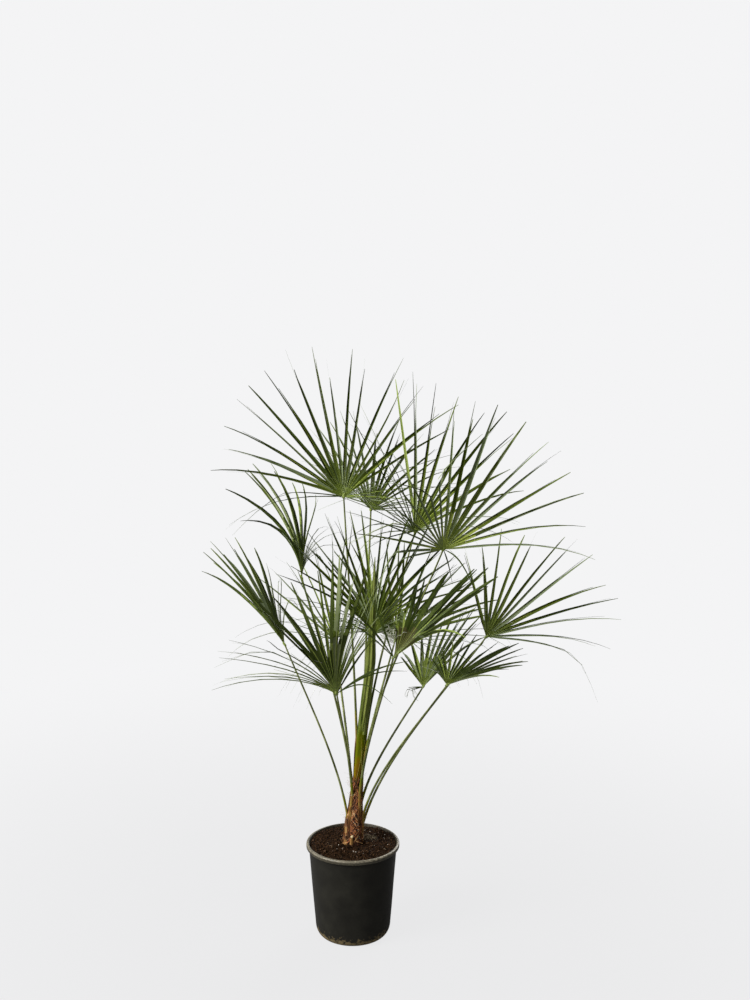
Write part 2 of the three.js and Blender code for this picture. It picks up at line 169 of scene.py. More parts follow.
@dataclass
class Surface:
    """Points and faces of a piece while it is made.

    Attributes:
        points: Places in metres, (n, 3).
        quads: Four point numbers a face, counterclockwise seen from outside, (m, 4).
        triangles: Three point numbers a face, (k, 3).
        quad_finish: Number of each four-sided face's finish.
        triangle_finish: Number of each triangle's finish.
        place: Share across and metres along at each point, which becomes the UV map, (n, 2).
    """

    points: Array
    quads: Array
    triangles: Array
    quad_finish: Array
    triangle_finish: Array
    place: Array


def joined(parts: list[Surface]) -> Surface:
    """Puts surfaces into one, each part's point numbers raised by the points before it.

    Args:
        parts: The surfaces in order.

    Returns:
        One surface that holds them all.
    """
    starts = np.cumsum([0] + [len(part.points) for part in parts[:-1]])
    raised = [
        (part.points, part.quads + start, part.triangles + start, part.quad_finish,
         part.triangle_finish, part.place)
        for part, start in zip(parts, starts)
    ]
    return Surface(*(np.concatenate(rows) for rows in zip(*raised)))


def skin(rings: Array, finish: Array | int = 0, place: Array | None = None) -> Surface:
    """Skins a bundle of separate tubes and closes both ends of each.

    Point j of ring r meets point j + 1 and the same two points of ring r + 1 in one face. The
    rings run counterclockwise seen from the tube's far end, so that faces point outwards.

    Args:
        rings: Points of n tubes of k rings of s points, (n, k, s, 3).
        finish: Number of each face's finish, in any shape that spreads to (n, k - 1, s).
        place: UV at each point, (n, k, s, 2). Left out, it is the mirrored share round the
            ring and the distance along the tube.

    Returns:
        The tubes as one surface.
    """
    number, count, sides, _ = rings.shape
    if place is None:
        middle = rings.mean(axis=2)
        steps = np.linalg.norm(np.diff(middle, axis=1), axis=-1)
        along = np.concatenate([np.zeros((number, 1)), np.cumsum(steps, axis=1)], axis=1)
        across = 1.0 - np.abs(2.0 * np.arange(sides) / sides - 1.0)
        place = np.stack(np.broadcast_arrays(across[None, None, :], along[:, :, None]), axis=-1)
    ring = (np.arange(number)[:, None, None] * count + np.arange(count - 1)[None, :, None]) * sides
    here = ring + np.arange(sides)
    there = ring + (np.arange(sides) + 1) % sides
    quads = np.stack([here, there, there + sides, here + sides], axis=-1)
    finishes = np.broadcast_to(finish, (number, count - 1, sides))
    first = np.arange(number)[:, None] * count * sides
    last = first + (count - 1) * sides
    fan = np.arange(1, sides - 1)[None, :]
    near_cap = np.stack(np.broadcast_arrays(first, first + fan + 1, first + fan), axis=-1)
    far_cap = np.stack(np.broadcast_arrays(last, last + fan, last + fan + 1), axis=-1)
    cap_finish = np.stack([finishes[:, 0, 0], finishes[:, -1, 0]])
    return Surface(
        rings.reshape(-1, 3),
        quads.reshape(-1, 4),
        np.concatenate([near_cap.reshape(-1, 3), far_cap.reshape(-1, 3)]),
        finishes.reshape(-1),
        np.repeat(cap_finish.reshape(-1), sides - 2),
        place.reshape(-1, 2),
    )


def tubes(
    paths: Array,
    wide: Array | float,
    thick: Array | float,
    facing: Array,
    sides: int,
    finish: Array | int = 0,
) -> Surface:
    """Carries an ellipse along each path, with all sizes in millimetres.

    A ring's points are centre + a · wide · cos t + b · thick · sin t, where a is square to the
    path and to facing, and b is square to a and to the path.

    Args:
        paths: Points of n paths of k stations, (n, k, 3).
        wide: Half width of the ellipse, in any shape that spreads to (n, k).
        thick: Half thickness, towards facing, in the same shapes.
        facing: Direction of the thin side, in any shape that spreads to (n, k, 3).
        sides: Points in a ring.
        finish: Finish numbers, as skin takes them.

    Returns:
        The tubes as one surface.
    """
    paths = paths * MM
    forward = unit(np.gradient(paths, axis=1))
    first = unit(np.cross(np.broadcast_to(facing, paths.shape), forward))
    second = np.cross(forward, first)
    turn = circle(sides)
    half_width = np.broadcast_to(wide * MM, paths.shape[:2])[..., None, None]
    half_depth = np.broadcast_to(thick * MM, paths.shape[:2])[..., None, None]
    rings = (
        paths[:, :, None, :]
        + first[:, :, None, :] * half_width * np.cos(turn)[:, None]
        + second[:, :, None, :] * half_depth * np.sin(turn)[:, None]
    )
    return skin(rings, finish)


def turned(profile: Array, sides: int, finish: Array | int = 0) -> Surface:
    """Turns a profile of (radius, height) rows round Z.

    Args:
        profile: The rows in metres, (k, 2).
        sides: Points in a ring.
        finish: Finish numbers, as skin takes them.

    Returns:
        The turned surface.
    """
    turn = circle(sides)
    radius, height = profile[:, :1], profile[:, 1:]
    x, y, z = np.broadcast_arrays(radius * np.cos(turn), radius * np.sin(turn), height)
    return skin(np.stack([x, y, z], axis=-1)[None], finish)


def lumps(
    centres: Array, sizes: Array, source: Generator, finish: Array
) -> Surface:
    """Small rough stones: a twenty-faced ball for each centre, stretched, dented and turned.

    Args:
        centres: Places, (n, 3).
        sizes: Half sizes along the ball's own three axes, (n, 3).
        source: Where the dents and turns are drawn.
        finish: Number of each lump's finish, (n,).

    Returns:
        The lumps as one surface.
    """
    golden = (1.0 + math.sqrt(5.0)) / 2.0
    flat = np.array([(0, a, b * golden) for a in (-1, 1) for b in (-1, 1)])
    corners = unit(np.concatenate([np.roll(flat, shift, axis=1) for shift in range(3)]))
    gaps = np.linalg.norm(corners[:, None] - corners[None], axis=-1)
    close = (gaps > 0.1) & (gaps < 1.2)
    faces = np.array(
        [
            (a, b, c) if np.dot(np.cross(corners[a], corners[b]), corners[c]) > 0 else (a, c, b)
            for a in range(12)
            for b in range(a + 1, 12)
            for c in range(b + 1, 12)
            if close[a, b] and close[b, c] and close[a, c]
        ]
    )
    count = len(centres)
    shaped = corners[None] * sizes[:, None] * source.uniform(0.72, 1.18, (count, 12, 1))
    spins = unit(source.normal(size=(count, 2, 3)))
    first = spins[:, 0]
    third = unit(np.cross(first, spins[:, 1]))
    second = np.cross(third, first)
    axes = np.stack([first, second, third], axis=1)
    points = centres[:, None] + np.einsum("npa,naj->npj", shaped, axes)
    triangles = faces[None] + np.arange(count)[:, None, None] * 12
    return Surface(
        points.reshape(-1, 3),
        np.zeros((0, 4), int),
        triangles.reshape(-1, 3),
        np.zeros(0, int),
        np.repeat(finish, len(faces)),
        np.zeros((count * 12, 2)),
    )


# Finishes


class Web:
    """The nodes of a material or of the world, wired one node a line."""

    def __init__(self, tree: bpy.types.NodeTree) -> None:
        """Takes the tree that the nodes go into."""
        self.tree = tree

    def add(self, kind: str, inputs: dict, output: str | int = 0, **settings: str) -> Socket:
        """Adds a node and feeds its inputs.

        Args:
            kind: The node's type after "ShaderNode".
            inputs: A value or another node's socket for each input's name or number.
            output: Name or number of the output that is wanted.
            **settings: The node's own options.

        Returns:
            That output.
        """
        node = self.tree.nodes.new(f"ShaderNode{kind}")
        for option, choice in settings.items():
            setattr(node, option, choice)
        self.feed(node.name, inputs)
        return node.outputs[output]

    def feed(self, name: str, inputs: dict) -> None:
        """Links the inputs of a named node that get a socket, and sets those that get a value.

        Args:
            name: The node's name in the tree.
            inputs: A value or another node's socket for each input's name or number.
        """
        node = self.tree.nodes[name]
        for place, value in inputs.items():
            if isinstance(value, Socket):
                self.tree.links.new(value, node.inputs[place])
            else:
                node.inputs[place].default_value = value

    def noise(self, spot: Socket, cells: float, detail: float) -> Socket:
        """Adds noise of so many cells a metre and returns its value."""
        return self.add("TexNoise", {"Scale": cells, "Detail": detail, "Vector": spot})


@dataclass(frozen=True)
class Finish:
    """A finish of two or three tones dealt out by noise, with its gloss and fine relief.

    Attributes:
        name: Name of the material.
        tones: Web colours from the noise's low to its high values.
        grain: Noise cells in a metre.
        stretch: Scale of the pattern along each axis; a small number draws it out.
        gloss: Roughness at the noise's low and high values.
        relief: Strength of the bump.
        fine: Noise cells of the bump in a metre.
        depth: Height of the bump in metres.
        shine: Specular level.
        spread: How far apart the tones stand on the noise, from 0 to 1.
    """

    name: str
    tones: tuple[str, ...]
    grain: float = 90.0
    stretch: Point = (1.0, 1.0, 1.0)
    gloss: Span = (0.42, 0.6)
    relief: float = 0.3
    fine: float = 420.0
    depth: float = 0.0006
    shine: float = 0.5
    spread: float = 0.4

    GRAIN_RANGE = (0.3, 0.7)
    GRAIN_DETAIL = 4.0
    FINE_DETAIL = 3.0

    def like(self, name: str, *tones: str, **changes: float | Span) -> "Finish":
        """A finish with another name, other tones and a few changes, otherwise like this one."""
        return replace(self, name=name, tones=tones, **changes)

    def material(self) -> bpy.types.Material:
        """Makes the material, or finds it where another piece has made it.

        Returns:
            The material.
        """
        found = bpy.data.materials.get(self.name)
        if found:
            return found
        made = bpy.data.materials.new(self.name)
        made.use_nodes = True
        self.wire(Web(made.node_tree))
        return made

    def wire(self, web: Web) -> None:
        """Lays the nodes: place, noise, tones, roughness and bump.

        Args:
            web: The material's nodes.
        """
        place = web.add("TexCoord", {}, "Object")
        spot = web.add("Mapping", {"Vector": place, "Scale": self.stretch})
        grain = web.noise(spot, self.grain, self.GRAIN_DETAIL)
        fine = web.noise(spot, self.fine, self.FINE_DETAIL)
        (low, high), (smoothest, roughest) = self.GRAIN_RANGE, self.gloss
        span = {"From Min": low, "From Max": high, "To Min": smoothest, "To Max": roughest}
        bump = {"Strength": self.relief, "Distance": self.depth, "Height": fine}
        web.feed("Principled BSDF", {
            "Specular IOR Level": self.shine,
            "Base Color": self.toned(web, grain),
            "Roughness": web.add("MapRange", {"Value": grain, **span}),
            "Normal": web.add("Bump", bump),
        })

    def toned(self, web: Web, value: Socket) -> Socket:
        """Deals the tones out along a value, evenly over the finish's spread.

        Args:
            web: The material's nodes.
            value: The socket that the ramp reads.

        Returns:
            The ramp's colour.
        """
        colour = web.add("ValToRGB", {"Fac": value})
        stops = np.linspace(0.5 - self.spread / 2.0, 0.5 + self.spread / 2.0, len(self.tones))
        marks = colour.node.color_ramp.elements
        marks[0].position, marks[1].position = stops[0], stops[-1]
        marks[0].color, marks[1].color = paint(self.tones[0]), paint(self.tones[-1])
        for stop, tone in zip(stops[1:-1], self.tones[1:-1]):
            marks.new(stop).color = paint(tone)
        return colour


@dataclass(frozen=True)
class PotFinish(Finish):
    """Dull plastic with earth dried on in a band round its foot.

    Attributes:
        earth: Web colour of the dried earth.
        patches: Noise cells of the earth's patches in a metre.
        band_top: Height in metres above which the foot's earth has gone.
        band: What is added to the noise at the underside and at the band's top.
        edge: Sums at which the earth starts and at which it is full.
    """

    earth: str = "#6e6044"
    patches: float = 130.0
    band_top: float = 0.056
    band: Span = (0.5, -0.3)
    edge: Span = (0.7, 0.9)

    def toned(self, web: Web, value: Socket) -> Socket:
        """Mixes the earth over the plastic where a coarse noise passes a height's threshold.

        Args:
            web: The material's nodes.
            value: The socket that the plastic's ramp reads.

        Returns:
            The mixed colour.
        """
        place = web.add("TexCoord", {}, "Object")
        height = web.add("SeparateXYZ", {"Vector": place}, "Z")
        (low, high), (start, full) = self.band, self.edge
        span = {"From Min": 0.0, "From Max": self.band_top, "To Min": low, "To Max": high}
        lift = web.add("MapRange", {"Value": height, **span})
        total = web.add("Math", {0: web.noise(place, self.patches, 8.0), 1: lift}, operation="ADD")
        share = web.add("MapRange", {"Value": total, "From Min": start, "From Max": full})
        mixed = {"Factor": share, "A": super().toned(web, value), "B": paint(self.earth)}
        return web.add("Mix", mixed, "Result", data_type="RGBA")


@dataclass(frozen=True)
class WornFinish(Finish):
    """Bark-like finish that runs through its tones along a piece, with a ragged edge.

    Attributes:
        reach: Distance in metres over which the tones run.
    """

    reach: float = 0.13

    def toned(self, web: Web, value: Socket) -> Socket:
        """Reads the tones at spread · (along / reach - 0.5) + noise.

        Args:
            web: The material's nodes.
            value: The noise's socket.

        Returns:
            The tones' colour.
        """
        along = web.add("SeparateXYZ", {"Vector": web.add("TexCoord", {}, "UV")}, "Y")
        line = {0: along, 1: self.spread / self.reach, 2: -self.spread / 2.0}
        scaled = web.add("Math", line, operation="MULTIPLY_ADD")
        return super().toned(web, web.add("Math", {0: scaled, 1: value}, operation="ADD"))


STREAKS = (1.0, 1.0, 0.07)

POT_PLASTIC = PotFinish(
    "pot plastic", ("#1b1a17", "#201f1b", "#262520"), grain=26.0, gloss=(0.4, 0.54), fine=900.0,
    relief=0.18, depth=0.0004, shine=0.07, spread=0.5,
)
# Rim finishes, lit and shaded copies of one plastic: the lighter one is a painted highlight for the
# rim's outer top curve, the darker one painted shade for the rest of the rolled rim.
RIM_PAINTED_HIGHLIGHT = Finish(
    "pot rim painted highlight", ("#38342a", "#645e4f", "#918976"), grain=160.0, stretch=(1.0, 1.0, 3.0),
    gloss=(0.3, 0.46), fine=900.0, relief=0.3, shine=0.35, spread=0.55,
)
RIM_PAINTED_SHADE = RIM_PAINTED_HIGHLIGHT.like(
    "pot rim painted shade", "#25231c", "#39352b", "#55503f", gloss=(0.35, 0.5), shine=0.25
)
SOIL_DARK = Finish(
    "potting soil", ("#080502", "#1b1008", "#422c19"), grain=260.0, gloss=(0.8, 0.98), relief=0.9,
    fine=900.0, depth=0.0016, shine=0.04,
)
SOIL_CRUMB = SOIL_DARK.like(
    "soil crumbs", "#090503", "#22150b", "#4f3a25", grain=330.0, relief=0.8, fine=1200.0, depth=0.001
)
BARK_CHIP = Finish(
    "bark chips", ("#2e1d10", "#4a3220", "#6d5236"), grain=300.0, gloss=(0.7, 0.9), relief=0.6,
    fine=900.0, depth=0.0008, shine=0.3,
)
GRIT = Finish("white grit", ("#b9b3a4", "#e4e0d4"), grain=500.0, gloss=(0.7, 0.9), relief=0.5)
ROOT = Finish(
    "dry roots", ("#3f3020", "#726147", "#a2967b"), grain=220.0, gloss=(0.6, 0.85), relief=0.4
)
TRUNK_CORE = Finish(
    "trunk fibre mat", ("#140904", "#351b0c", "#5e361b"), grain=210.0, stretch=(1.0, 1.0, 0.45),
    gloss=(0.7, 0.95), relief=0.9, fine=1100.0, depth=0.0014, shine=0.3,
)
FIBRE_RED = Finish(
    "red brown fibre", ("#45200c", "#854a22", "#b57239"), grain=240.0, gloss=(0.55, 0.8),
    relief=0.4,
)
FIBRE_TAN = FIBRE_RED.like("tan fibre", "#6a4826", "#9a7141", "#c09a68")
FIBRE_PALE = Finish("pale hair", ("#a69678", "#dcd2bb"), grain=300.0, gloss=(0.5, 0.7), relief=0.2)
THREAD_PALE = FIBRE_PALE.like("pale threads", "#a3a48e", "#dfe0d2", shine=0.2)
BASE_TAN = Finish(
    "tan leaf base", ("#5f4320", "#8a683a", "#a88a58"), grain=170.0, stretch=STREAKS,
    gloss=(0.5, 0.75), relief=0.5, fine=700.0, depth=0.0008, shine=0.15,
)
BASE_BROWN = BASE_TAN.like(
    "brown leaf base", "#3a2210", "#5f3b1b", "#7d5228", gloss=(0.6, 0.85), relief=0.6, depth=0.001,
    shine=0.5,
)
BASE_WORN = WornFinish(
    "worn leaf base", ("#5c6414", "#736c22", "#7d6230", "#553517", "#36200f"), grain=170.0,
    stretch=(1.0, 1.0, 0.25), gloss=(0.6, 0.85), relief=0.6, fine=700.0, depth=0.001, shine=0.1,
    spread=0.8,
)
CUT_CREAM = Finish(
    "cut leaf base", ("#c9b07a", "#f0e3bb"), grain=420.0, gloss=(0.6, 0.8), relief=0.4
)
SHEATH_GREEN = WornFinish(
    "green sheath", ("#5d3c10", "#6f5b08", "#5d6006", "#4f5806", "#525c18", "#666f34"), grain=110.0,
    stretch=(1.0, 1.0, 0.3), gloss=(0.6, 0.75), relief=0.4, fine=420.0, depth=0.0007, shine=0.03,
    spread=0.8, reach=0.15,
)
WRAP_DEEP = Finish(
    "deep green wrap", ("#313b10", "#48541d", "#626c34"), grain=110.0, stretch=STREAKS,
    gloss=(0.55, 0.7), relief=0.35, fine=420.0, shine=0.05,
)
WRAP_PALE = WRAP_DEEP.like("waxy green wrap", "#4d5826", "#6a7335", "#8a9155")
SHEATH_EDGE = Finish(
    "sheath edge", ("#4a3f10", "#6e6020", "#8d8636"), grain=170.0, stretch=STREAKS,
    gloss=(0.5, 0.75), relief=0.5, fine=600.0,
)
SPEAR_OLIVE = Finish(
    "olive spear", ("#3a4416", "#596226", "#7c8344"), grain=120.0, stretch=STREAKS, gloss=(0.5, 0.65),
    relief=0.35, fine=500.0, shine=0.1, spread=0.5,
)
STALK_GREEN = Finish(
    "green stalk", ("#414826", "#5f6638", "#848a5a"), grain=60.0, stretch=(1.0, 1.0, 0.2),
    gloss=(0.6, 0.75), relief=0.25, fine=500.0, shine=0.03,
)
SPINE = Finish("spine", ("#2a2c12", "#55542c"), grain=300.0, gloss=(0.4, 0.6), relief=0.2, shine=0.1)
HUB_GREEN = Finish(
    "hub", ("#55661f", "#748434", "#93a04c"), grain=200.0, gloss=(0.4, 0.6), relief=0.3
)


class Leaf(Enum):
    """The finishes of a fan's faces, in the order of its material slots."""

    DEEP = 0
    GREEN = 1
    FRESH = 2
    WAXY = 3
    HEART = 4
    UNDER = 5
    UNDER_PALE = 6
    OLIVE = 7
    RIB = 8


def leaf_finish(name: str, tones: tuple[str, ...], gloss: Span) -> Finish:
    """A leaflet's finish: fine veins along the blade and slow drifts of tone."""
    return Finish(
        name, tones, grain=14.0, gloss=gloss, relief=0.22, fine=260.0, depth=0.0004, shine=0.12,
        spread=0.5,
    )


LEAF_FINISHES = {
    Leaf.DEEP: leaf_finish("leaf deep green", ("#2a340e", "#3c4a15"), (0.42, 0.58)),
    Leaf.GREEN: leaf_finish("leaf green", ("#3c4811", "#56631d"), (0.44, 0.6)),
    Leaf.FRESH: leaf_finish("leaf fresh green", ("#62712b", "#859448"), (0.45, 0.6)),
    Leaf.WAXY: leaf_finish("leaf waxy", ("#606c46", "#7f8a68"), (0.48, 0.62)),
    Leaf.HEART: leaf_finish("leaf heart", ("#424f14", "#5e6d22"), (0.44, 0.6)),
    Leaf.UNDER: leaf_finish("leaf underside", ("#374319", "#4e5a24"), (0.52, 0.68)),
    Leaf.UNDER_PALE: leaf_finish("leaf pale underside", ("#677149", "#889166"), (0.52, 0.7)),
    Leaf.OLIVE: leaf_finish("leaf olive back", ("#3f3f1f", "#524f29"), (0.5, 0.66)),
    Leaf.RIB: leaf_finish("leaf rib", ("#75842b", "#a0a955"), (0.45, 0.6)),
}


def add_piece(
    name: str, surface: Surface, finishes: list[Finish], slot: str, *nodes: str, crease: float = 40.0
) -> None:
    """Makes a piece's object at the origin and ties it to the frame.

    Args:
        name: The piece's name.
        surface: Its points and faces.
        finishes: Its finishes, by the numbers that the faces hold.
        slot: A material slot's name, which is only logged.
        *nodes: The CAD nodes that it replaces.
        crease: Angle in degrees past which an edge stays sharp.
    """
    mesh = bpy.data.meshes.new(name)
    corners = np.concatenate([surface.quads.ravel(), surface.triangles.ravel()]).astype(np.int32)
    sizes = np.repeat([4, 3], [len(surface.quads), len(surface.triangles)])
    starts = (np.cumsum(sizes) - sizes).astype(np.int32)
    numbers = np.concatenate([surface.quad_finish, surface.triangle_finish]).astype(np.int32)
    mesh.vertices.add(len(surface.points))
    mesh.vertices.foreach_set("co", surface.points.astype(np.float32).ravel())
    mesh.loops.add(len(corners))
    mesh.loops.foreach_set("vertex_index", corners)
    mesh.polygons.add(len(sizes))
    mesh.polygons.foreach_set("loop_start", starts)
    mesh.polygons.foreach_set("material_index", numbers)
    layer = mesh.uv_layers.new(name="place")
    layer.data.foreach_set("uv", surface.place[corners].astype(np.float32).ravel())
    for finish in finishes:
        mesh.materials.append(finish.material())
    mesh.update(calc_edges=True)
    mesh.validate()
    mesh.shade_smooth()
    mesh.set_sharp_from_angle(angle=math.radians(crease))
    piece = bpy.data.objects.new(name, mesh)
    bpy.context.scene.collection.objects.link(piece)
    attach(piece, BODY)
    if nodes:
        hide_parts(*nodes)
    replaced = ", ".join(nodes) or "nothing"
    LOG.info("%s: %d faces, slot %s, in place of %s", name, len(sizes), slot, replaced)


# The plant's axis, which the trunk, the sheath, the spear and the stalks share

SOIL_LEVEL = 241.0
TRUNK_TOP = 416.0
SHEATH_TOP = 548.0
SPEAR_TOP = 989.0
LEAN = ((SOIL_LEVEL, 0.0), (TRUNK_TOP, 13.0), (SHEATH_TOP, 24.0), (717.0, 46.0), (SPEAR_TOP, 57.0))
TRUNK_RADII = ((SOIL_LEVEL, 28.0), (262.0, 25.0), (300.0, 22.5), (350.0, 17.0), (TRUNK_TOP, 12.5))
SHEATH_RADII = ((TRUNK_TOP, 12.0), (480.0, 12.5), (SHEATH_TOP, 12.0))
SPEAR_RADII = (
    (SHEATH_TOP, 10.0), (620.0, 12.6), (735.0, 12.6), (790.0, 9.6), (880.0, 7.4), (SPEAR_TOP, 0.8),
)


def axis_at(height: Array | float) -> Array:
    """The leaning centreline at each height, in millimetres."""
    lean = table(LEAN, height)
    return np.stack(np.broadcast_arrays(lean, 0.0, height), axis=-1).astype(float)


def outward(bearing: Array | float) -> Array:
    """Level unit vectors at bearings in degrees, anticlockwise from +X."""
    turn = np.radians(bearing)
    return np.stack(np.broadcast_arrays(np.cos(turn), np.sin(turn), 0.0), axis=-1)


def surface_radius(height: Array | float) -> Array:
    """Radius of the trunk, or of the sheath above it, at each height."""
    return np.where(
        np.asarray(height) < TRUNK_TOP, table(TRUNK_RADII, height), table(SHEATH_RADII, height)
    )


def beside(height: Array | float, out: Array, radius: Array | float) -> Array:
    """Points at a radius from the plant's axis on the side out, at each height."""
    return axis_at(height) + out * np.asarray(radius)[..., None]


def column(height: Array, turn: Array, radius: Array) -> Surface:
    """Skins rings round the plant's axis, given each point's height, turn and radius."""
    return skin(beside(height, outward(np.degrees(turn)), radius)[None] * MM)


@dataclass(frozen=True)
class Pot:
    """The nursery pot: rounded foot, tapered wall and rolled rim, in millimetres."""

    height: float = 243.0
    foot_radius: float = 81.0
    low_radius: float = 97.0
    foot_height: float = 28.0
    high_radius: float = 113.0
    rim_radius: float = 120.0
    rim_depth: float = 11.0
    rim_round: float = 4.0
    rim_step: Span = (1.2, 0.2)
    lip_round: float = 1.5
    wall: float = 3.0
    wall_gap: float = 2.0
    hole: float = 0.2
    sides: int = 144
    foot_steps: int = 12
    wall_steps: int = 26
    round_steps: int = 6
    wobble: float = 0.5
    wobble_cells: float = 14.0
    wobble_seed: int = 3

    def foot(self, inset: float, raised: float) -> Array:
        """The foot's quarter ellipse, set in from the wall and up from the underside.

        Args:
            inset: How far it is set in.
            raised: How far it is set up.

        Returns:
            Rows of radius and height, from the underside to the wall.
        """
        turn = np.linspace(0.0, np.pi / 2.0, self.foot_steps)
        wide = self.low_radius - self.foot_radius
        radius = self.foot_radius - inset + wide * np.sin(turn)
        return np.stack([radius, raised + (self.foot_height - raised) * (1.0 - np.cos(turn))], 1)

    def arc(self, centre: Span, radius: float, start: float, end: float) -> Array:
        """Points of an arc in the profile, from one angle in degrees to another."""
        turn = np.radians(np.linspace(start, end, self.round_steps))
        return np.stack([centre[0] + radius * np.cos(turn), centre[1] + radius * np.sin(turn)], 1)

    def build(self) -> None:
        """Builds the shell from the underside out, up, over the rim and down inside."""
        low = self.height - self.rim_depth
        climb = shares(self.wall_steps)[1:-1, None]
        outer = np.array([[self.low_radius, self.foot_height]]) * (1.0 - climb)
        outer = outer + np.array([[self.high_radius, low - self.wall_gap]]) * climb
        inner_top = np.array([[self.high_radius - self.wall, low]])
        inner_low = np.array([[self.low_radius - self.wall, self.foot_height]])
        bend, lip = self.rim_round, self.lip_round
        step_out, step_up = self.rim_step
        profile = np.concatenate([
            [[self.hole, 0.0], [self.foot_radius * 0.5, 0.0]],
            self.foot(0.0, 0.0),
            outer,
            [[self.high_radius, low], [self.high_radius + step_out, low + step_up]],
            self.arc((self.rim_radius - bend / 2, low + bend / 2), bend / 2, -90.0, 0.0),
            self.arc((self.rim_radius - bend, self.height - bend), bend, 0.0, 90.0),
            self.arc((self.high_radius + lip, self.height - lip), lip, 90.0, 180.0),
            inner_top,
            inner_top * (1.0 - climb) + inner_low * climb,
            self.foot(self.wall, self.wall)[::-1],
            [[self.foot_radius * 0.5, self.wall], [self.hole, self.wall]],
        ])
        rows = np.arange(len(profile) - 1)
        start = 2 + self.foot_steps + len(outer)
        bend_start = start + 2 + self.round_steps
        # Painted light on the rim: the rows of its outer top curve take the painted highlight finish,
        # the rest of the rolled rim the painted shade finish, and the wall and foot the plain plastic.
        rolled = (rows >= start) & (rows < bend_start + 2 * self.round_steps)
        painted_highlight_rows = (rows >= bend_start) & (rows < bend_start + self.round_steps)
        kind = (rolled.astype(int) * 2 - painted_highlight_rows)[None, :, None]
        shell = turned(profile * MM, self.sides, kind)
        radial = unit(shell.points * [1.0, 1.0, 0.0] + [1e-9, 0.0, 0.0])
        share = np.clip(shell.points[:, 2:] / (self.height * MM), 0.0, 1.0)
        dent = noise(shell.points, self.wobble_cells, self.wobble_seed)[:, None] * self.wobble * MM
        shell.points = shell.points + radial * dent * share * (1.0 - share) * 4.0
        finishes = [POT_PLASTIC, RIM_PAINTED_HIGHLIGHT, RIM_PAINTED_SHADE]
        add_piece("pot_shell", shell, finishes, "pot_plastic", "pot", crease=60.0)


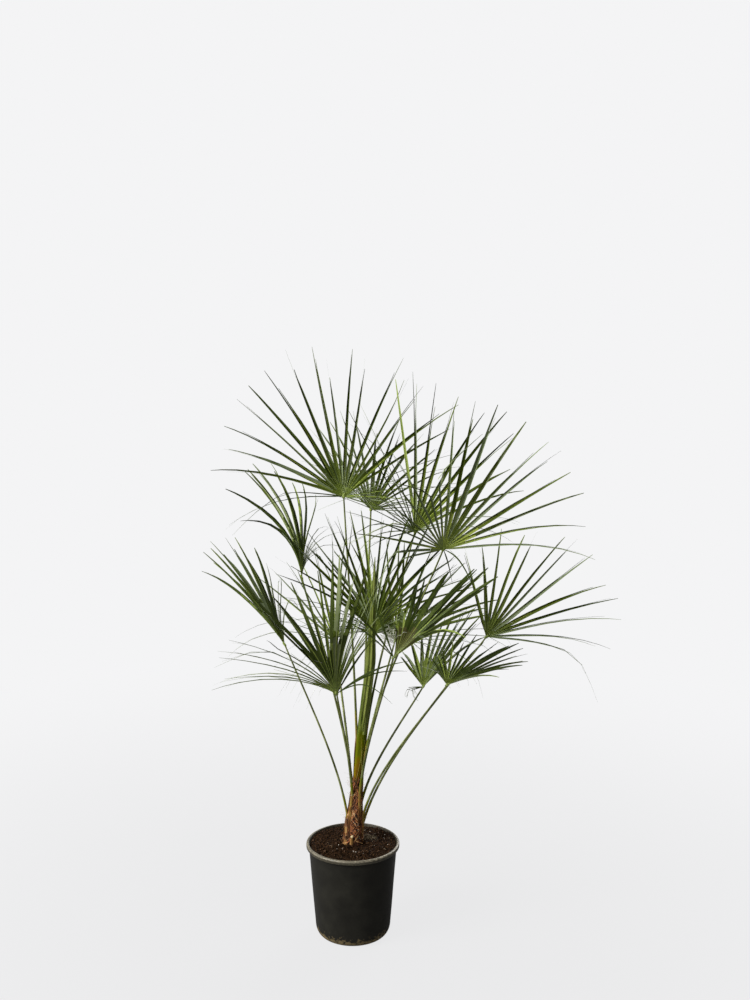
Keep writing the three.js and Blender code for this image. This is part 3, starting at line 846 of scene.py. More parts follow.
@dataclass(frozen=True)
class Soil:
    """Potting soil under the rim, with crumbs, chips, white grit and dry roots."""

    edge_radius: float = 110.0
    edge_level: float = 239.0
    bottom: float = 222.0
    bottom_radius: float = 108.6
    mound_reach: float = 46.0
    hole: float = 0.3
    crowding: float = 0.8
    relief: Layers = ((3.4, 30.0, 5), (2.6, 70.0, 6), (1.4, 170.0, 7))
    rings: int = 64
    sides: int = 190
    clear_radius: float = 24.0
    crumbs: int = 1700
    crumb_size: Span = (0.8, 3.2)
    chips: int = 90
    chip_size: float = 2.1
    chip_shape: Point = (1.9, 0.9, 0.45)
    grit: int = 26
    grit_size: float = 1.05
    marked_grit: tuple[Point, ...] = ((77.5, -31.0, 1.9), (51.0, -66.0, 1.2), (-36.0, -20.0, 1.7))
    roots: int = 62
    root_patch: Span = (42.0, 24.0)
    root_curl: float = 2.4
    root_length: Span = (9.0, 26.0)
    root_arch: Span = (0.5, 5.0)
    root_width: Span = (0.25, 0.6)
    seed: int = 41

    def level(self, x: Array, y: Array) -> Array:
        """Height of the soil: the edge level, eased up to the mound, with hollows and crumbs.

        Args:
            x: Places along X in millimetres.
            y: Places along Y in millimetres.

        Returns:
            Heights in millimetres.
        """
        rise = smooth((self.edge_radius - np.hypot(x, y)) / (self.edge_radius - self.mound_reach))
        spot = np.stack(np.broadcast_arrays(x, y, 0.0), axis=-1) * MM
        return self.edge_level + (SOIL_LEVEL - self.edge_level) * rise + layered(spot, self.relief)

    def build(self) -> None:
        """Builds the soil's body, then its loose bits and its roots."""
        inwards = 1.0 - shares(self.rings) ** self.crowding
        radius = self.hole + (self.edge_radius - self.hole) * inwards
        turn = circle(self.sides)
        x, y = radius[:, None] * np.cos(turn), radius[:, None] * np.sin(turn)
        top = np.stack([x, y, self.level(x, y)], axis=-1)
        below = np.array([[self.hole, self.bottom], [self.bottom_radius, self.bottom]])
        across = below[:, :1]
        low = np.broadcast_arrays(across * np.cos(turn), across * np.sin(turn), below[:, 1:])
        body = skin(np.concatenate([np.stack(low, axis=-1), top])[None] * MM)
        add_piece("soil_body", body, [SOIL_DARK], "soil", "soil", crease=70.0)
        source = default_rng(self.seed)
        self.scatter(source)
        self.lay_roots(source)

    def spots(self, source: Generator, count: int, inner: float) -> Array:
        """Draws places on the soil, spread evenly over its area outside an inner radius.

        Args:
            source: Where the places are drawn.
            count: How many places.
            inner: The inner radius in millimetres.

        Returns:
            The places in millimetres, (count, 3).
        """
        radius = np.sqrt(source.uniform(inner**2, (self.edge_radius - 3.0) ** 2, count))
        turn = source.uniform(0.0, 2.0 * np.pi, count)
        x, y = radius * np.cos(turn), radius * np.sin(turn)
        return np.stack([x, y, self.level(x, y)], axis=-1)

    def scatter(self, source: Generator) -> None:
        """Strews crumbs, bark chips and white grit over the soil as one joined piece.

        Args:
            source: Where the places and sizes are drawn.
        """
        count = self.crumbs + self.chips + self.grit
        kind = np.repeat([0, 1, 2], [self.crumbs, self.chips, self.grit])
        centres = self.spots(source, count, self.clear_radius)
        least, more = self.crumb_size
        crumb = least + more * source.random(count) ** 3.0
        size = np.choose(kind, [crumb, self.chip_size, self.grit_size])
        size = size * source.uniform(0.75, 1.3, count)
        shape = source.uniform(0.6, 1.1, (count, 3))
        shape[kind == 1] *= self.chip_shape
        centres[:, 2] += size * 0.3
        marked = np.array(self.marked_grit)
        x, y, wide = marked.T
        centres[-len(marked):] = np.stack([x, y, self.level(x, y) + wide * 0.4], axis=1)
        size[-len(marked):] = wide
        bits = lumps(centres * MM, (size[:, None] * shape) * MM, source, kind)
        add_piece("soil_crumbs", bits, [SOIL_CRUMB, BARK_CHIP, GRIT], "soil", crease=30.0)

    def lay_roots(self, source: Generator) -> None:
        """Lays curly dry roots on the soil, most of them to the right of the trunk.

        Args:
            source: Where the places and curls are drawn.
        """
        stations = shares(12)
        count = self.roots
        starts = np.where(
            (np.arange(count) < count * 0.85)[:, None],
            np.array(self.root_patch) + source.normal(0.0, 8.0, (count, 2)),
            self.spots(source, count, 34.0)[:, :2],
        )
        heading = source.uniform(0.0, 2.0 * np.pi, (count, 1))
        bend = source.uniform(-self.root_curl, self.root_curl, (count, 1)) * stations + heading
        step = source.uniform(*self.root_length, (count, 1)) / len(stations)
        x = starts[:, :1] + np.cumsum(np.cos(bend) * step, axis=1)
        y = starts[:, 1:] + np.cumsum(np.sin(bend) * step, axis=1)
        hold = np.minimum(1.0, (self.edge_radius - 4.0) / np.hypot(x, y))
        x, y = x * hold, y * hold
        arch = np.sin(np.pi * stations) * source.uniform(*self.root_arch, (count, 1))
        paths = np.stack([x, y, self.level(x, y) + 0.4 + arch], axis=-1)
        thin = source.uniform(*self.root_width, (count, 1)) * (1.0 - 0.55 * stations)
        add_piece("soil_roots", tubes(paths, thin, thin, UP, 5), [ROOT], "soil")


@dataclass(frozen=True)
class Trunk:
    """The short trunk: a rough core under crossed fibres, with loose hairs, in millimetres."""

    buried: float = 230.0
    rings: int = 110
    sides: int = 84
    row_height: float = 17.0
    spirals: float = 2.0
    scale_height: float = 2.0
    inset: float = 1.4
    relief: Layers = ((2.0, 45.0, 8), (1.3, 140.0, 9))
    fibres: int = 640
    fibre_turn: Span = (18.0, 80.0)
    fibre_climb: Span = (10.0, 52.0)
    fibre_width: Span = (0.35, 1.3)
    fibre_kinds: tuple[float, ...] = (0.52, 0.18, 0.3)
    hairs: int = 260
    hair_length: Span = (6.0, 22.0)
    hair_width: Span = (0.12, 0.3)
    hair_kinds: tuple[float, ...] = (0.68, 0.32)
    fibre_depth: Rows = ((SOIL_LEVEL, 2.5), (300.0, 3.5), (TRUNK_TOP, 4.5))
    seed: int = 51

    def radius(self, height: Array) -> Array:
        """Radius of the bare trunk under its fibres at each height in millimetres."""
        return table(TRUNK_RADII, height) - table(self.fibre_depth, height)

    def build(self) -> None:
        """Builds the core with its relief, then the fibres and the hairs.

        The relief is radius + scales + lattice noise. The scales are rows of old leaf bases in a
        spiral: a saw tooth that rises over each row's height.
        """
        height = np.linspace(self.buried, TRUNK_TOP + 4.0, self.rings)[:, None]
        turn = circle(self.sides)[None, :]
        spiral = (height - self.buried) / self.row_height + turn / (2.0 * np.pi) * self.spirals
        tooth = (spiral % 1.0) ** 1.5
        spot = beside(height, outward(np.degrees(turn)), self.radius(height)) * MM
        radius = self.radius(height) - self.inset + self.scale_height * tooth
        radius = radius + layered(spot, self.relief)
        radius[-1] *= 0.4
        core = column(height, turn, radius)
        add_piece("trunk_core", core, [TRUNK_CORE], "trunk_fibre", "trunk", crease=70.0)
        source = default_rng(self.seed)
        finishes = [FIBRE_RED, FIBRE_TAN, TRUNK_CORE]
        add_piece("trunk_fibres", self.wrapped(source), finishes, "trunk_fibre")
        add_piece("trunk_hairs", self.loose(source), [FIBRE_RED, FIBRE_PALE], "trunk_fibre")

    def wrapped(self, source: Generator) -> Surface:
        """Flat fibres that cross each other round the trunk, close to its surface.

        A fibre starts at a bearing and height, and turns and climbs evenly along its length.

        Args:
            source: Where the fibres are drawn.

        Returns:
            The fibres as one surface.
        """
        count = self.fibres
        stations = shares(10)
        bearing = source.uniform(0.0, 360.0, (count, 1))
        low = source.uniform(self.buried + 8.0, TRUNK_TOP - 22.0, (count, 1))
        sense = np.where(source.random((count, 1)) < 0.5, -1.0, 1.0)
        turned_by = sense * source.uniform(*self.fibre_turn, (count, 1))
        climb = source.uniform(*self.fibre_climb, (count, 1))
        height = np.minimum(low + climb * stations, TRUNK_TOP + 3.0)
        around = bearing + turned_by * stations + source.normal(0.0, 1.2, (count, 10))
        proud = 1.0 + 2.2 * source.random((count, 1)) + 1.3 * np.sin(np.pi * stations)
        out = outward(around)
        paths = beside(height, out, self.radius(height) + proud)
        narrowed = 1.0 - 0.7 * np.abs(2.0 * stations - 1.0) ** 3
        wide = source.uniform(*self.fibre_width, (count, 1)) * narrowed
        kind = source.choice(3, (count, 1, 1), p=self.fibre_kinds)
        return tubes(paths, wide, 0.25, out, 4, kind)

    def loose(self, source: Generator) -> Surface:
        """Hairs that stand off the trunk, most of them near its top.

        Args:
            source: Where the hairs are drawn.

        Returns:
            The hairs as one surface.
        """
        count = self.hairs
        stations = shares(8)
        low = TRUNK_TOP + 6.0 - 170.0 * source.random((count, 1)) ** 1.3
        out = outward(source.uniform(0.0, 360.0, (count, 1)))
        drift = unit(source.normal(size=(count, 1, 3)) + [0.0, 0.0, 0.7])
        length = source.uniform(*self.hair_length, (count, 1, 1))
        stem = beside(low, out, surface_radius(low) - 0.5)
        curl = np.sin(stations * source.uniform(2.0, 6.0, (count, 1)))[..., None]
        along = stations[:, None]
        paths = stem + out * length * 0.5 * along + drift * length * 0.7 * along**1.4
        paths = paths + np.roll(drift, 1, axis=-1) * curl * length * 0.12
        thin = source.uniform(*self.hair_width, (count, 1)) * (1.0 - 0.6 * stations)
        kind = source.choice(2, (count, 1, 1), p=self.hair_kinds)
        return tubes(paths, thin, thin, UP + [0.1, 0.2, 0.0], 4, kind)


@dataclass(frozen=True)
class LeafBase:
    """One old leaf base on the trunk, in millimetres and degrees.

    Attributes:
        height: Height of its foot.
        bearing: Bearing from the trunk's axis.
        length: Length above its foot.
        half_width: Half its width at the foot.
        drop: How far it runs on down along the trunk.
        cut: Whether it ends in a pale cut, and not in a torn brown end.
    """

    height: float
    bearing: float
    length: float
    half_width: float
    drop: float
    cut: bool


@dataclass(frozen=True)
class LeafBases:
    """Stubs of old leaves at the trunk's foot, with pale cut ends."""

    stubs: tuple[LeafBase, ...] = (
        LeafBase(270.0, 205.0, 40.0, 6.5, 34.0, False),
        LeafBase(245.0, 262.0, 24.0, 4.6, 10.0, True),
        LeafBase(245.0, 220.0, 20.0, 5.4, 10.0, False),
    )

    def build(self) -> None:
        """Builds each stub as a flat tube that leans out, narrows and ends in a cut face."""
        stations = np.array([0.0, 0.12, 0.3, 0.5, 0.7, 0.88, 0.97, 1.0])
        finishes = [BASE_TAN, BASE_BROWN, CUT_CREAM]
        for number, stub in enumerate(self.stubs, 1):
            out = outward(stub.bearing)
            height = stub.height - stub.drop + (stub.length + stub.drop) * stations
            lean = stub.half_width * (-0.7 + 1.2 * stations**1.6)
            paths = beside(height, out, table(TRUNK_RADII, height) + lean)
            wide = stub.half_width * (1.25 - 0.62 * stations)
            thick = 3.4 * (1.0 - 0.45 * stations)
            kind = np.array([1, 1, 0, 0, 0, 2, 2] if stub.cut else [0, 0, 0, 0, 1, 1, 1])
            surface = tubes(paths[None], wide, thick, out, 12, kind[None, :, None])
            node = f"leaf_base_{number:02d}"
            add_piece(f"leaf_base_stub_{number:02d}", surface, finishes, "cut_base", node)


@dataclass(frozen=True)
class Sheath:
    """Green leaf bases wrapped above the trunk, and the spear leaf in them with its young wraps.

    Attributes:
        peak: How much higher the top stands at its highest side, in millimetres.
        peak_bearing: Bearing of that side in radians.
        pleats: Pleats round the spear.
        pleat_depth: Depth of a pleat, as a share of the spear's radius.
        flatness: How much thinner the spear is along X and wider along Y, as the same share.
        brown_edges: Bearing, turn, height and climb of each wrap's brown edge.
        wraps: Bearing and top of each young wrap on the spear.
        wrap_foot: Height where the young wraps start.
    """

    sides: int = 60
    rings: int = 70
    peak: float = 54.0
    peak_bearing: float = 5.1
    spear_sides: int = 72
    spear_rings: int = 90
    pleats: int = 9
    pleat_depth: float = 0.13
    flatness: float = 0.12
    brown_edges: tuple[tuple[float, float, float, float], ...] = (
        (250.0, 55.0, 404.0, 96.0), (20.0, -60.0, 412.0, 104.0),
        (140.0, 48.0, 420.0, 88.0), (310.0, -42.0, 430.0, 100.0),
    )
    wraps: Rows = ((222.0, 742.0), (318.0, 792.0), (20.0, 716.0), (110.0, 768.0))
    wrap_foot: float = 532.0

    def build(self) -> None:
        """Builds the sheath, its wraps' edges and the spear.

        The sheath's top is slanted: it stands higher by peak · (0.5 + 0.5 cos)³ of the bearing.
        """
        turn = circle(self.sides)
        slant = (0.5 + 0.5 * np.cos(turn - self.peak_bearing)) ** 3
        top = SHEATH_TOP + 4.0 + self.peak * slant
        height = TRUNK_TOP - 5.0 + (top - TRUNK_TOP + 5.0) * shares(self.rings)[:, None]
        share = (height - TRUNK_TOP) / (top - TRUNK_TOP)
        lobes = 0.09 * np.cos(3.0 * turn + 0.9 * share) + 0.05 * np.cos(5.0 * turn - 2.2 * share)
        ridges = 0.018 * np.cos(24.0 * turn + 2.0 * share)
        taper = 1.0 - 0.16 * smooth((share - 0.75) / 0.25)
        radius = table(SHEATH_RADII, height) * (1.0 + lobes + ridges) * taper
        radius[-1] *= 0.5
        surface = column(height, turn, radius)
        add_piece("sheath_wraps", surface, [SHEATH_GREEN], "sheath", "sheath", crease=70.0)
        self.edges()
        self.spear()
        self.inner_wraps()

    def edges(self) -> None:
        """Thin brown edges of the wraps, which climb and turn round the sheath."""
        stations = shares(16)
        start, sweep, low, climb = np.array(self.brown_edges).T[..., None]
        height = low + climb * stations
        out = outward(start + sweep * stations)
        paths = beside(height, out, table(SHEATH_RADII, height) * 1.06)
        surface = tubes(paths, 0.8 * (1.0 - 0.75 * stations), 0.5, out, 6)
        add_piece("sheath_edges", surface, [SHEATH_EDGE], "sheath")

    def spear(self) -> None:
        """The unopened leaf: r · (1 + 0.13 cos 9t) · (1 - 0.12 cos 2t) round the axis."""
        height = np.linspace(SHEATH_TOP - 6.0, SPEAR_TOP, self.spear_rings)[:, None]
        turn = circle(self.spear_sides)
        wave = self.pleats * turn + 0.5 * np.sin(height / 60.0)
        pleat = 1.0 + self.pleat_depth * np.cos(wave)
        flat = 1.0 - self.flatness * np.cos(2.0 * turn)
        surface = column(height, turn, table(SPEAR_RADII, height) * pleat * flat)
        add_piece("spear_leaf", surface, [SPEAR_OLIVE], "spear", "spear", crease=50.0)

    def inner_wraps(self) -> None:
        """Young stalks that hug the spear: flat tubes on its surface that narrow as they climb."""
        share = shares(24)
        start, top = np.array(self.wraps).T[..., None]
        height = self.wrap_foot + (top - self.wrap_foot) * share
        out = outward(start + 14.0 * share)
        paths = beside(height, out, table(SPEAR_RADII, height) * (0.95 - 0.2 * share**2))
        kind = np.array([0, 1, 0, 1])[:, None, None]
        surface = tubes(paths, 6.2 - 3.4 * share**1.5, 3.4 - 2.0 * share, out, 12, kind)
        add_piece("spear_wraps", surface, [WRAP_DEEP, WRAP_PALE], "spear", crease=60.0)


# Fronds


class Tone(Enum):
    """A fan's greens: the chance of each upper finish, its heart's, and the chance of pale backs."""

    # SHADE is painted shade for a fan at the back: mostly the darkest greens, no pale backs and dark
    # ribs.
    SHADE = ((0.74, 0.24, 0.02, 0.0), Leaf.DEEP, 0.0)
    DEEP = ((0.52, 0.36, 0.1, 0.02), Leaf.GREEN, 0.1)
    GREEN = ((0.32, 0.4, 0.22, 0.06), Leaf.HEART, 0.14)
    BRIGHT = ((0.1, 0.3, 0.38, 0.22), Leaf.RIB, 0.6)
    OLIVE = ((0.42, 0.4, 0.1, 0.08), Leaf.OLIVE, 0.12)


@dataclass(frozen=True)
class Frond:
    """One frond in the words of the part's source: millimetres and degrees.

    Attributes:
        number: Its number in the frame.
        hub: Where its stalk meets its fan.
        bearing: Bearing of the middle leaflet in plan.
        climb: Its angle above the horizontal.
        roll: Turn of the fan about that leaflet.
        length: Length of the middle leaflet.
        first: Angle of the first leaflet from the middle one.
        last: Angle of the last leaflet.
        fold: How far the sides turn up at 100 degrees.
        droop: Share of its length by which a leaflet's tip hangs.
        foot: Height where the stalk leaves the trunk.
        foot_bearing: Bearing where the stalk leaves the trunk.
        seed: Seed of its leaflets.
        side: How much shorter a leaflet is 100 degrees off the middle.
        bow: How the whole fan bends between its hub and its tips, as a share of its length.
        palman: Share of its length that is undivided.
        gather: How much closer together its leaflets start than they end.
        pitch: Angle between its leaflets.
        slim: Angles below and above which its leaflets are narrow, and many of them pale.
        slim_depth: How deep the notches of the narrow leaflets are, as a share of the others.
        strap: Width of its free leaflets, as a share of the width at their notches.
        tone: How its greens are shared out.
    """

    number: int
    hub: Point
    bearing: float
    climb: float
    roll: float
    length: float
    first: float
    last: float
    fold: float
    droop: float
    foot: float
    foot_bearing: float
    seed: int
    side: float = 0.2
    bow: Point = (0.0, 0.0, 0.0)
    palman: float = 0.2
    gather: float = 0.0
    pitch: float = 8.6
    slim: Span = (-180.0, 180.0)
    slim_depth: float = 0.3
    strap: float = 1.0
    tone: Tone = Tone.GREEN


FRONDS = (
    Frond(
        1, (-24, 130, 1123), 83, 74, 19, 400, -104, 96, 14, 0.05, 520, 160, 11,
        slim=(-50, 74), strap=0.9,
    ),
    Frond(
        2, (46, 230, 1074), 73, 39, 26, 345, -80, 72, 20, 0.05, 500, 50, 12,
        side=0.45, slim=(-40, 50),
    ),
    Frond(
        3, (160, 105, 1036), 70, 81, 26, 402, -76, 96, 45, 0.05, 520, 10, 13,
        side=0.5, slim=(-62, 14), tone=Tone.DEEP,
    ),
    Frond(
        4, (223, -70, 1021), -19, 59, 117, 388, -50, 112, 26, 0.05, 455, -22, 14,
        palman=0.17, slim=(-37, 24), slim_depth=0.5, strap=1.3, tone=Tone.BRIGHT,
    ),
    Frond(
        5, (54, 32, 784), 90, 84, 0, 338, -108, 108, 38, 0.05, 540, 105, 15,
        palman=0.3, gather=0.35, pitch=6.6, slim=(-58, 58), tone=Tone.DEEP,
    ),
    Frond(
        6, (-132, 100, 915), 160, 62, 1, 345, -92, 32, 14, 0.06, 392, 150, 16,
        side=0.5, bow=(-0.35, 0, 0), palman=0.26, gather=0.85, slim=(-50, 180),
    ),
    Frond(
        7, (-168, -30, 773), 161, 50, 5, 330, -60, 16, 10, 0.04, 318, 188, 17,
        bow=(-0.1, 0, 0), palman=0.33, gather=0.45, pitch=7.2, slim=(-44, 180), tone=Tone.DEEP,
    ),
    Frond(
        8, (-34, -180, 693), -119, 62, 52, 362, -62, 82, 40, 0.06, 372, 225, 18,
        side=0.5, palman=0.38, gather=0.45, pitch=5.4, slim=(-22, 32),
    ),
    Frond(
        9, (101, -170, 779), -12, 41, 8, 316, -24, 80, 30, 0.06, 376, 302, 19,
        side=0.7, palman=0.32, gather=0.3, strap=0.92, tone=Tone.OLIVE,
    ),
    Frond(10, (182, 80, 630), 32, 46, -9, 262, -24, 70, 22, 0.05, 346, 32, 20, side=0.7, palman=0.3),
    Frond(
        11, (237, -40, 672), 14, 25, 2, 222, -48, 92, 30, 0.06, 312, -18, 21,
        side=0.7, palman=0.24, strap=1.12, tone=Tone.DEEP,
    ),
    Frond(
        12, (341, 40, 774), -11, 42, 105, 338, -42, 60, 20, 0.05, 290, 10, 22,
        slim=(-29, 180), slim_depth=0.5, strap=1.12,
    ),
    Frond(
        13, (111, 190, 726), 73, 41, 24, 345, -92, 92, 26, 0.06, 360, 70, 23,
        slim=(-60, 60), tone=Tone.DEEP,
    ),
    Frond(
        14, (-50, 170, 731), 113, 39, -34, 345, -92, 52, 26, 0.06, 336, 112, 24,
        palman=0.14, slim=(-30, 30), tone=Tone.SHADE,
    ),
)


@dataclass(frozen=True)
class Stray:
    """A slim leaflet that leaves its fan's order, in millimetres.

    Attributes:
        frond: Number of its frond.
        tip: Where its tip stands from the hub.
        arch: How far its middle stands above the straight line to its tip.
        width: Half its width where it is widest.
    """

    frond: int
    tip: Point
    arch: float
    width: float = 2.7


STRAYS = (
    Stray(8, (174.0, -20.0, 86.0), 16.0),
    Stray(8, (168.0, 24.0, 48.0), 20.0, 2.0),
    Stray(8, (132.0, -36.0, -14.0), 34.0, 1.7),
    Stray(8, (92.0, 40.0, 128.0), 10.0),
    Stray(9, (-152.0, 30.0, 92.0), 18.0, 2.1),
    Stray(9, (-118.0, -24.0, 138.0), 12.0, 2.6),
    Stray(9, (-66.0, 44.0, 166.0), 8.0, 2.8),
    Stray(4, (84.0, -60.0, -118.0), 30.0, 2.0),
    Stray(4, (26.0, 40.0, -96.0), 10.0, 1.8),
)


class Fan:
    """A frond's fan by the part's rule, with whole arrays over its leaflets, in millimetres."""

    ANGLE_JITTER = 2.4
    LENGTH_JITTER = 0.06
    LIFT_JITTER = 0.045
    CUP = 0.04
    UPRIGHT_DROOP = 0.3
    OUTER_SLACK = 2.4

    def __init__(self, frond: Frond) -> None:
        """Works out the fan's axes and draws its leaflets.

        The rib runs along the middle leaflet, level is square to it in its upright plane, and
        the fan's normal is level turned about the rib by the roll.

        Args:
            frond: The frond's sizes.
        """
        self.frond = frond
        bearing, climb, roll = (math.radians(a) for a in (frond.bearing, frond.climb, frond.roll))
        ahead = np.array([math.cos(bearing), math.sin(bearing), 0.0])
        self.hub = np.array(frond.hub, float)
        self.rib = ahead * math.cos(climb) + UP * math.sin(climb)
        level = UP * math.cos(climb) - ahead * math.sin(climb)
        self.normal = level * math.cos(roll) + np.cross(self.rib, level) * math.sin(roll)
        self.side = np.cross(self.normal, self.rib)
        self.count = round((frond.last - frond.first) / frond.pitch) + 1
        self.pitch = (frond.last - frond.first) / (self.count - 1)
        draws = Draws(frond.seed).take(self.count, 4)
        spread = (draws - 0.5) * 2.0
        self.angle = frond.first + self.pitch * np.arange(self.count) + spread[:, 0] * self.ANGLE_JITTER
        shorter = 1.0 - frond.side * (self.angle / 100.0) ** 2
        self.length = frond.length * shorter * (1.0 + spread[:, 1] * self.LENGTH_JITTER)
        outer = np.abs(np.linspace(-1.0, 1.0, self.count)) ** 5
        self.droop = frond.droop * (0.5 + draws[:, 2]) * (1.0 + self.OUTER_SLACK * outer)
        self.lift = spread[:, 3] * self.LIFT_JITTER
        self.near = frond.length * frond.palman
        low, high = frond.slim
        outer = (self.notches() < low) | (self.notches() > high)
        self.depth = np.where(outer, frond.slim_depth, 1.0)
        self.slim = outer[1:] & outer[:-1]

    def bowed(self, reach: Array) -> Array:
        """How far the fan's bow moves a point: bow · reach · (reach / length - 1)."""
        moved = reach * (reach / self.frond.length - 1.0)
        return moved[..., None] * np.array(self.frond.bow)

    def direction(self, angle: Array) -> Array:
        """Direction at an angle from the rib: round the fan, its sides folded up and cupped.

        Args:
            angle: Angles in degrees.

        Returns:
            One unit vector for each angle.
        """
        turn = np.radians(angle)[..., None]
        folded = np.radians(self.frond.fold) * np.abs(np.asarray(angle))[..., None] / 100.0
        sine = np.sin(np.abs(turn))
        return unit(
            self.rib * np.cos(turn)
            + self.side * np.sign(turn) * sine * np.cos(folded)
            + self.normal * (sine * np.sin(folded) + self.CUP)
        )

    def gathered(self, angle: Array, reach: Array) -> Array:
        """Angle at a distance from the hub: angle · (1 - gather · (1 - reach / length)²)."""
        left = np.clip(1.0 - reach / self.frond.length, 0.0, 1.0)
        return angle * (1.0 - self.frond.gather * left**2)

    def axes(self, angle: Array) -> tuple[Array, Array, Array]:
        """Direction, side and upper normal of a leaflet at each angle.

        The side is square to the direction and points towards larger angles, and the normal is
        square to both.

        Args:
            angle: Angles in degrees.

        Returns:
            Three arrays of unit vectors.
        """
        ahead = self.direction(angle)
        nearby = self.direction(np.asarray(angle) + 1.0) - ahead
        side = unit(nearby - ahead * np.sum(nearby * ahead, axis=-1, keepdims=True))
        return ahead, side, np.cross(ahead, side)

    def notches(self) -> Array:
        """Angles of the notches between the leaflets, and of the two outer edges.

        Returns:
            One angle more than there are leaflets, in degrees.
        """
        middle = (self.angle[1:] + self.angle[:-1]) / 2.0
        half = self.pitch / 2.0
        return np.concatenate([[self.angle[0] - half], middle, [self.angle[-1] + half]])


@dataclass(frozen=True)
class Leaflets:
    """Folded leaflets of a fan, joined round the hub and free beyond their notches.

    Attributes:
        fold_near: Fold of a joined leaflet in degrees.
        fold_far: Fold of a free one.
        joined_shares: Stations as shares of the way to the notch.
        free_shares: Stations as shares of the way from the notch to the tip.
        widths: Width by the share of the way from the notch to the tip.
        thickness: Thickness in millimetres by the share of the leaflet's length.
        short_half: Length of a leaflet's narrower half, as a share of the other's.
        notch_spread: How near and far the notches lie, as a share of the usual reach.
        split_from: Where a leaflet splits, as a share of its free length.
        parting: How far its halves part, in millimetres.
        lean: How far the narrower half leans off, in millimetres.
        twist: Turn about the rib at the tip, in radians.
        bend: Sideways bend at the tip, as a share of the length.
        kink_chance: Chance that a slim leaflet is kinked.
        kink_turn: Turn of a kink in radians.
        kink_from: Where a kink starts, as a share of the length.
        kink_ease: Distance over which it turns, in millimetres.
        pale_chance: Chance that a slim leaflet is pale.
        waxy_chance: Chance that a narrower half is waxy.
        stripe_chance: Chance that a bright fan's heart runs on along a leaflet.
        thread_chance: Chance of a thread at a notch.
        thread_length: Length of a thread in millimetres.
        thread_width: Half its thickness in millimetres.
        rib_share: Width of the pale stripe at the rib, as a share of the half leaflet.
        ribbed_to: How far the stripe runs, as a share of the length.
    """

    fold_near: float = 44.0
    fold_far: float = 56.0
    joined_shares: tuple[float, ...] = (0.03, 0.22, 0.42, 0.62, 0.82, 1.0)
    free_shares: tuple[float, ...] = (0.1, 0.24, 0.4, 0.57, 0.76, 0.9, 1.0)
    widths: Rows = (
        (0.0, 1.0), (0.15, 1.04), (0.4, 1.0), (0.6, 0.85), (0.8, 0.62), (0.93, 0.42), (1.0, 0.2),
    )
    thickness: Rows = ((0.0, 1.1), (0.27, 0.55), (1.0, 0.16))
    short_half: Span = (0.84, 0.98)
    notch_spread: Span = (0.74, 1.14)
    split_from: Span = (0.45, 0.85)
    parting: Span = (1.0, 9.0)
    lean: float = 5.0
    twist: float = 0.32
    bend: float = 0.02
    kink_chance: float = 0.25
    kink_turn: Span = (0.3, 1.1)
    kink_from: Span = (0.4, 0.75)
    kink_ease: float = 18.0
    pale_chance: float = 0.45
    waxy_chance: float = 0.3
    stripe_chance: float = 0.65
    thread_chance: float = 0.42
    thread_length: Span = (18.0, 85.0)
    thread_width: float = 0.36
    rib_share: float = 0.17
    ribbed_to: float = 0.62

    def rise_rate(self, fan: Fan) -> float:
        """How fast a joined leaflet's edges rise over its rib with the distance from the hub."""
        return math.tan(math.radians(fan.pitch / 2.0)) * math.tan(math.radians(self.fold_near))

    def shape(self, fan: Fan, source: Generator) -> Surface:
        """Shapes every leaflet as two closed half strips that meet in its rib.

        A station's ring has five points: the rib's bottom, the rim of its pale stripe below, the
        outer edge, the stripe's rim above and the rib's top. Inside the notch the edge lies on the
        line that both neighbours share, raised by half the fold, and the rib lies on the leaflet's
        line, lowered by as much. Past it the edge stands off the rib by width · cos(fold) sideways
        and width · sin(fold) up. Past the split one half runs narrower, away from the other and
        ends short of it.

        Args:
            fan: The fan's rule.
            source: Where bows, twists, splits and kinks are drawn.

        Returns:
            The leaflets as one surface.
        """
        count = fan.count
        sign = np.array([1.0, -1.0])[None, :, None]
        notch_angle = fan.notches()
        notch_reach = fan.near * fan.depth * source.uniform(*self.notch_spread, count + 1)
        pairs = np.stack([np.arange(count) + 1, np.arange(count)], axis=1)
        near = notch_reach[pairs][..., None]
        main = np.where(source.random(count) < 0.5, 0, 1)
        minor = np.arange(2)[None, :] != main[:, None]
        ends = np.where(minor, source.uniform(*self.short_half, (count, 1)), 1.0)[..., None]
        total = fan.length[:, None, None]
        inner = near * np.array(self.joined_shares)
        free = np.concatenate([np.zeros(len(self.joined_shares)), self.free_shares])
        past = (near + (total * ends - near) * free)[..., len(self.joined_shares):]
        reach = np.concatenate([inner, past], axis=-1)
        is_free = free > 0.0
        share = reach / total
        beyond = np.clip((reach - near) / (total - near), 0.0, 1.0)

        ahead, side, up = fan.axes(fan.gathered(fan.angle[:, None, None], reach))
        twist = (source.normal(0.0, self.twist, (count, 1, 1)) * beyond)[..., None]
        turned_side = side * np.cos(twist) + up * np.sin(twist)
        turned_up = up * np.cos(twist) - side * np.sin(twist)
        middle = fan.hub + ahead * reach[..., None] + fan.bowed(reach)
        middle = middle + self.sag(fan, share, total)
        lift = fan.lift[:, None, None] * reach * (0.35 + 0.65 * share)
        middle = middle + fan.normal * lift[..., None]
        bow = source.normal(0.0, self.bend, (count, 1, 1)) * total * beyond**2
        middle = middle + side * bow[..., None]
        middle = middle + self.kinks(fan, reach, source, ahead, side)

